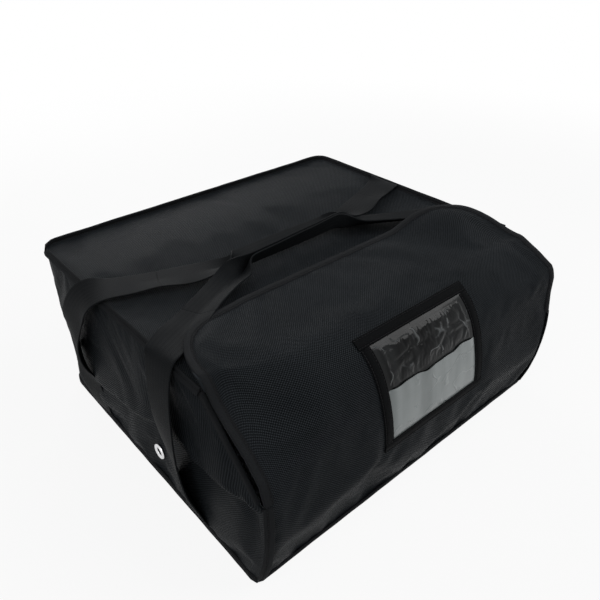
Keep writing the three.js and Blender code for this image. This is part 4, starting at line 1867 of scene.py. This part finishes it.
buildStrap(frontStrap, bag["frontTurn"].y)
buildStrap(rearStrap, bag["rearTurn"].y)
print("straps made")


# A vent ring by its profile: the distance from its middle and how far it stands out from the wall
eyeletShape = {
    "profile": (
        (0.0108, 0.0002), (0.0106, 0.0010), (0.0098, 0.0018), (0.0086, 0.0022), (0.0073, 0.0018),
        (0.0062, 0.0010), (0.0055, 0.0000), (0.0052, -0.0014), (0.0052, -0.0070), (0.0070, -0.0070),
        (0.0070, -0.0006), (0.0100, -0.0004),
    ),
    "points": 56,
    "out": 0.0002,
    "shadeDiscPoints": 40,
    "shadeDiscRadius": 0.0056,
    "shadeDiscDepth": 0.0006,
}


def buildEyelet(side, sign):
    spotY, spotZ = wallSetup["eyelet"]
    wallX = bag["halfWidth"] + eyeletShape["out"]
    profile, points = eyeletShape["profile"], eyeletShape["points"]
    count = len(profile)

    def place(u, v):
        radius, out = profile[round(v * count) % count]
        angle = 2 * math.pi * (round(u * points) % points) / points
        y, z = spotY + radius * math.cos(angle), spotZ + radius * math.sin(angle)
        return Vector((sign * (wallX + out), y, z))

    ring = closedSheet(f"vent_eyelet_{side}", points, count, place, (0.08, 0.03), nickel, 60)
    dress(ring, nickel, "eyelet_metal", f"eyelet_{side}")
    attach(ring, "bag")
    paintNode(f"eyelet_washer_{side}", nickel)


# A dark disc in the vent's hole: painted shade that stands for the dark inside of the bag
def buildVentShade(side, sign):
    spotY, spotZ = wallSetup["eyelet"]
    wallX = bag["halfWidth"] + eyeletShape["out"]
    deselectAll()
    bpy.ops.mesh.primitive_cylinder_add(
        vertices=eyeletShape["shadeDiscPoints"],
        radius=eyeletShape["shadeDiscRadius"],
        depth=eyeletShape["shadeDiscDepth"],
    )
    inside = bpy.context.object
    inside.name = f"vent_shade_{side}"
    for vertex in inside.data.vertices:
        across, along, deep = vertex.co
        vertex.co = Vector((sign * (wallX + deep), spotY + across, spotZ + along))
    closeUp(inside)
    dress(inside, ventShade, "foam")
    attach(inside, "bag")


tapePair = {
    "columns": 90,
    "rows": 12,
    "wave": 0.0002,
    "waveScale": 40,
    "searchDepth": 0.03,
    "sunk": 0.8,
}


# The hook tape follows the underside of the flap's lining, and the loop tape lies on the top
def buildTapes():
    cloth = bpy.data.objects["flap_lining"].data
    corners = [vertex.co for vertex in cloth.vertices]
    liningFaces = BVHTree.FromPolygons(corners, [tuple(face.vertices) for face in cloth.polygons])
    wave, scale = tapePair["wave"], tapePair["waveScale"]
    for name, node, body in (("loop_strip", "loop_tape", "bag"), ("hook_strip", "hook_tape", "flap_upper")):
        low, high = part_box(node)
        thick = high.z - low.z

        def place(u, v):
            x, y = lerp(low.x, high.x, u), lerp(low.y, high.y, v)
            z = low.z + wave * noise.noise(Vector((x, y, 0)) * scale)
            if body == "flap_upper":
                under = Vector((x, y, low.z - tapePair["searchDepth"]))
                spot = liningFaces.ray_cast(under, Vector((0, 0, 1)))[0]
                spot = spot or liningFaces.find_nearest(Vector((x, y, bag["flapTop"])))[0]
                z = spot.z - tapePair["sunk"] * thick
            return Vector((x, y, z))

        size = (high.x - low.x, high.y - low.y)
        strip = gridSheet(name, tapePair["columns"], tapePair["rows"], place, size, (0, 0, 1))
        thicken(strip, thick, 1.0)
        smooth(strip, 40)
        dress(strip, fuzz, "hook_and_loop", node)
        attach(strip, body)


for ventSide, ventSign in (("left", -1), ("right", 1)):
    buildEyelet(ventSide, ventSign)
    buildVentShade(ventSide, ventSign)
buildTapes()
print("eyelets and tapes made")


# Works out the sizes of the sheets that lie against the padded panels, and the flap's area, and keeps none
# of them
def declareSoft():
    bottomInset = bottomLayers["lining"][0]
    width, depth = 2 * bag["halfWidth"], 2 * bag["halfDepth"]
    flapWidth, split = 2 * bag["flapHalf"], frontSheet["split"]
    flapLength = lineEnd - split
    rounding = 2 * (1 - math.pi / 4) * frontSheet["cornerRadius"] ** 2
    sheets = (
        ("front_lining", flapWidth, split - lengthAtHeight(bag["foot"]), "front_panel"),
        ("left_lining", depth, bag["top"], "left_panel"),
        ("right_lining", depth, bag["top"], "right_panel"),
        ("back_lining", width, bag["top"], "back_panel"),
        ("top_lining", width, bag["halfDepth"] - bag["mouthRear"], "top_panel"),
        ("bottom_lining", width - 2 * bottomInset, depth - 2 * bottomInset, "bottom_pad"),
        ("bottom_panel", width, depth, "base_board"),
    )
    flapWidth * flapLength - rounding


declareSoft()
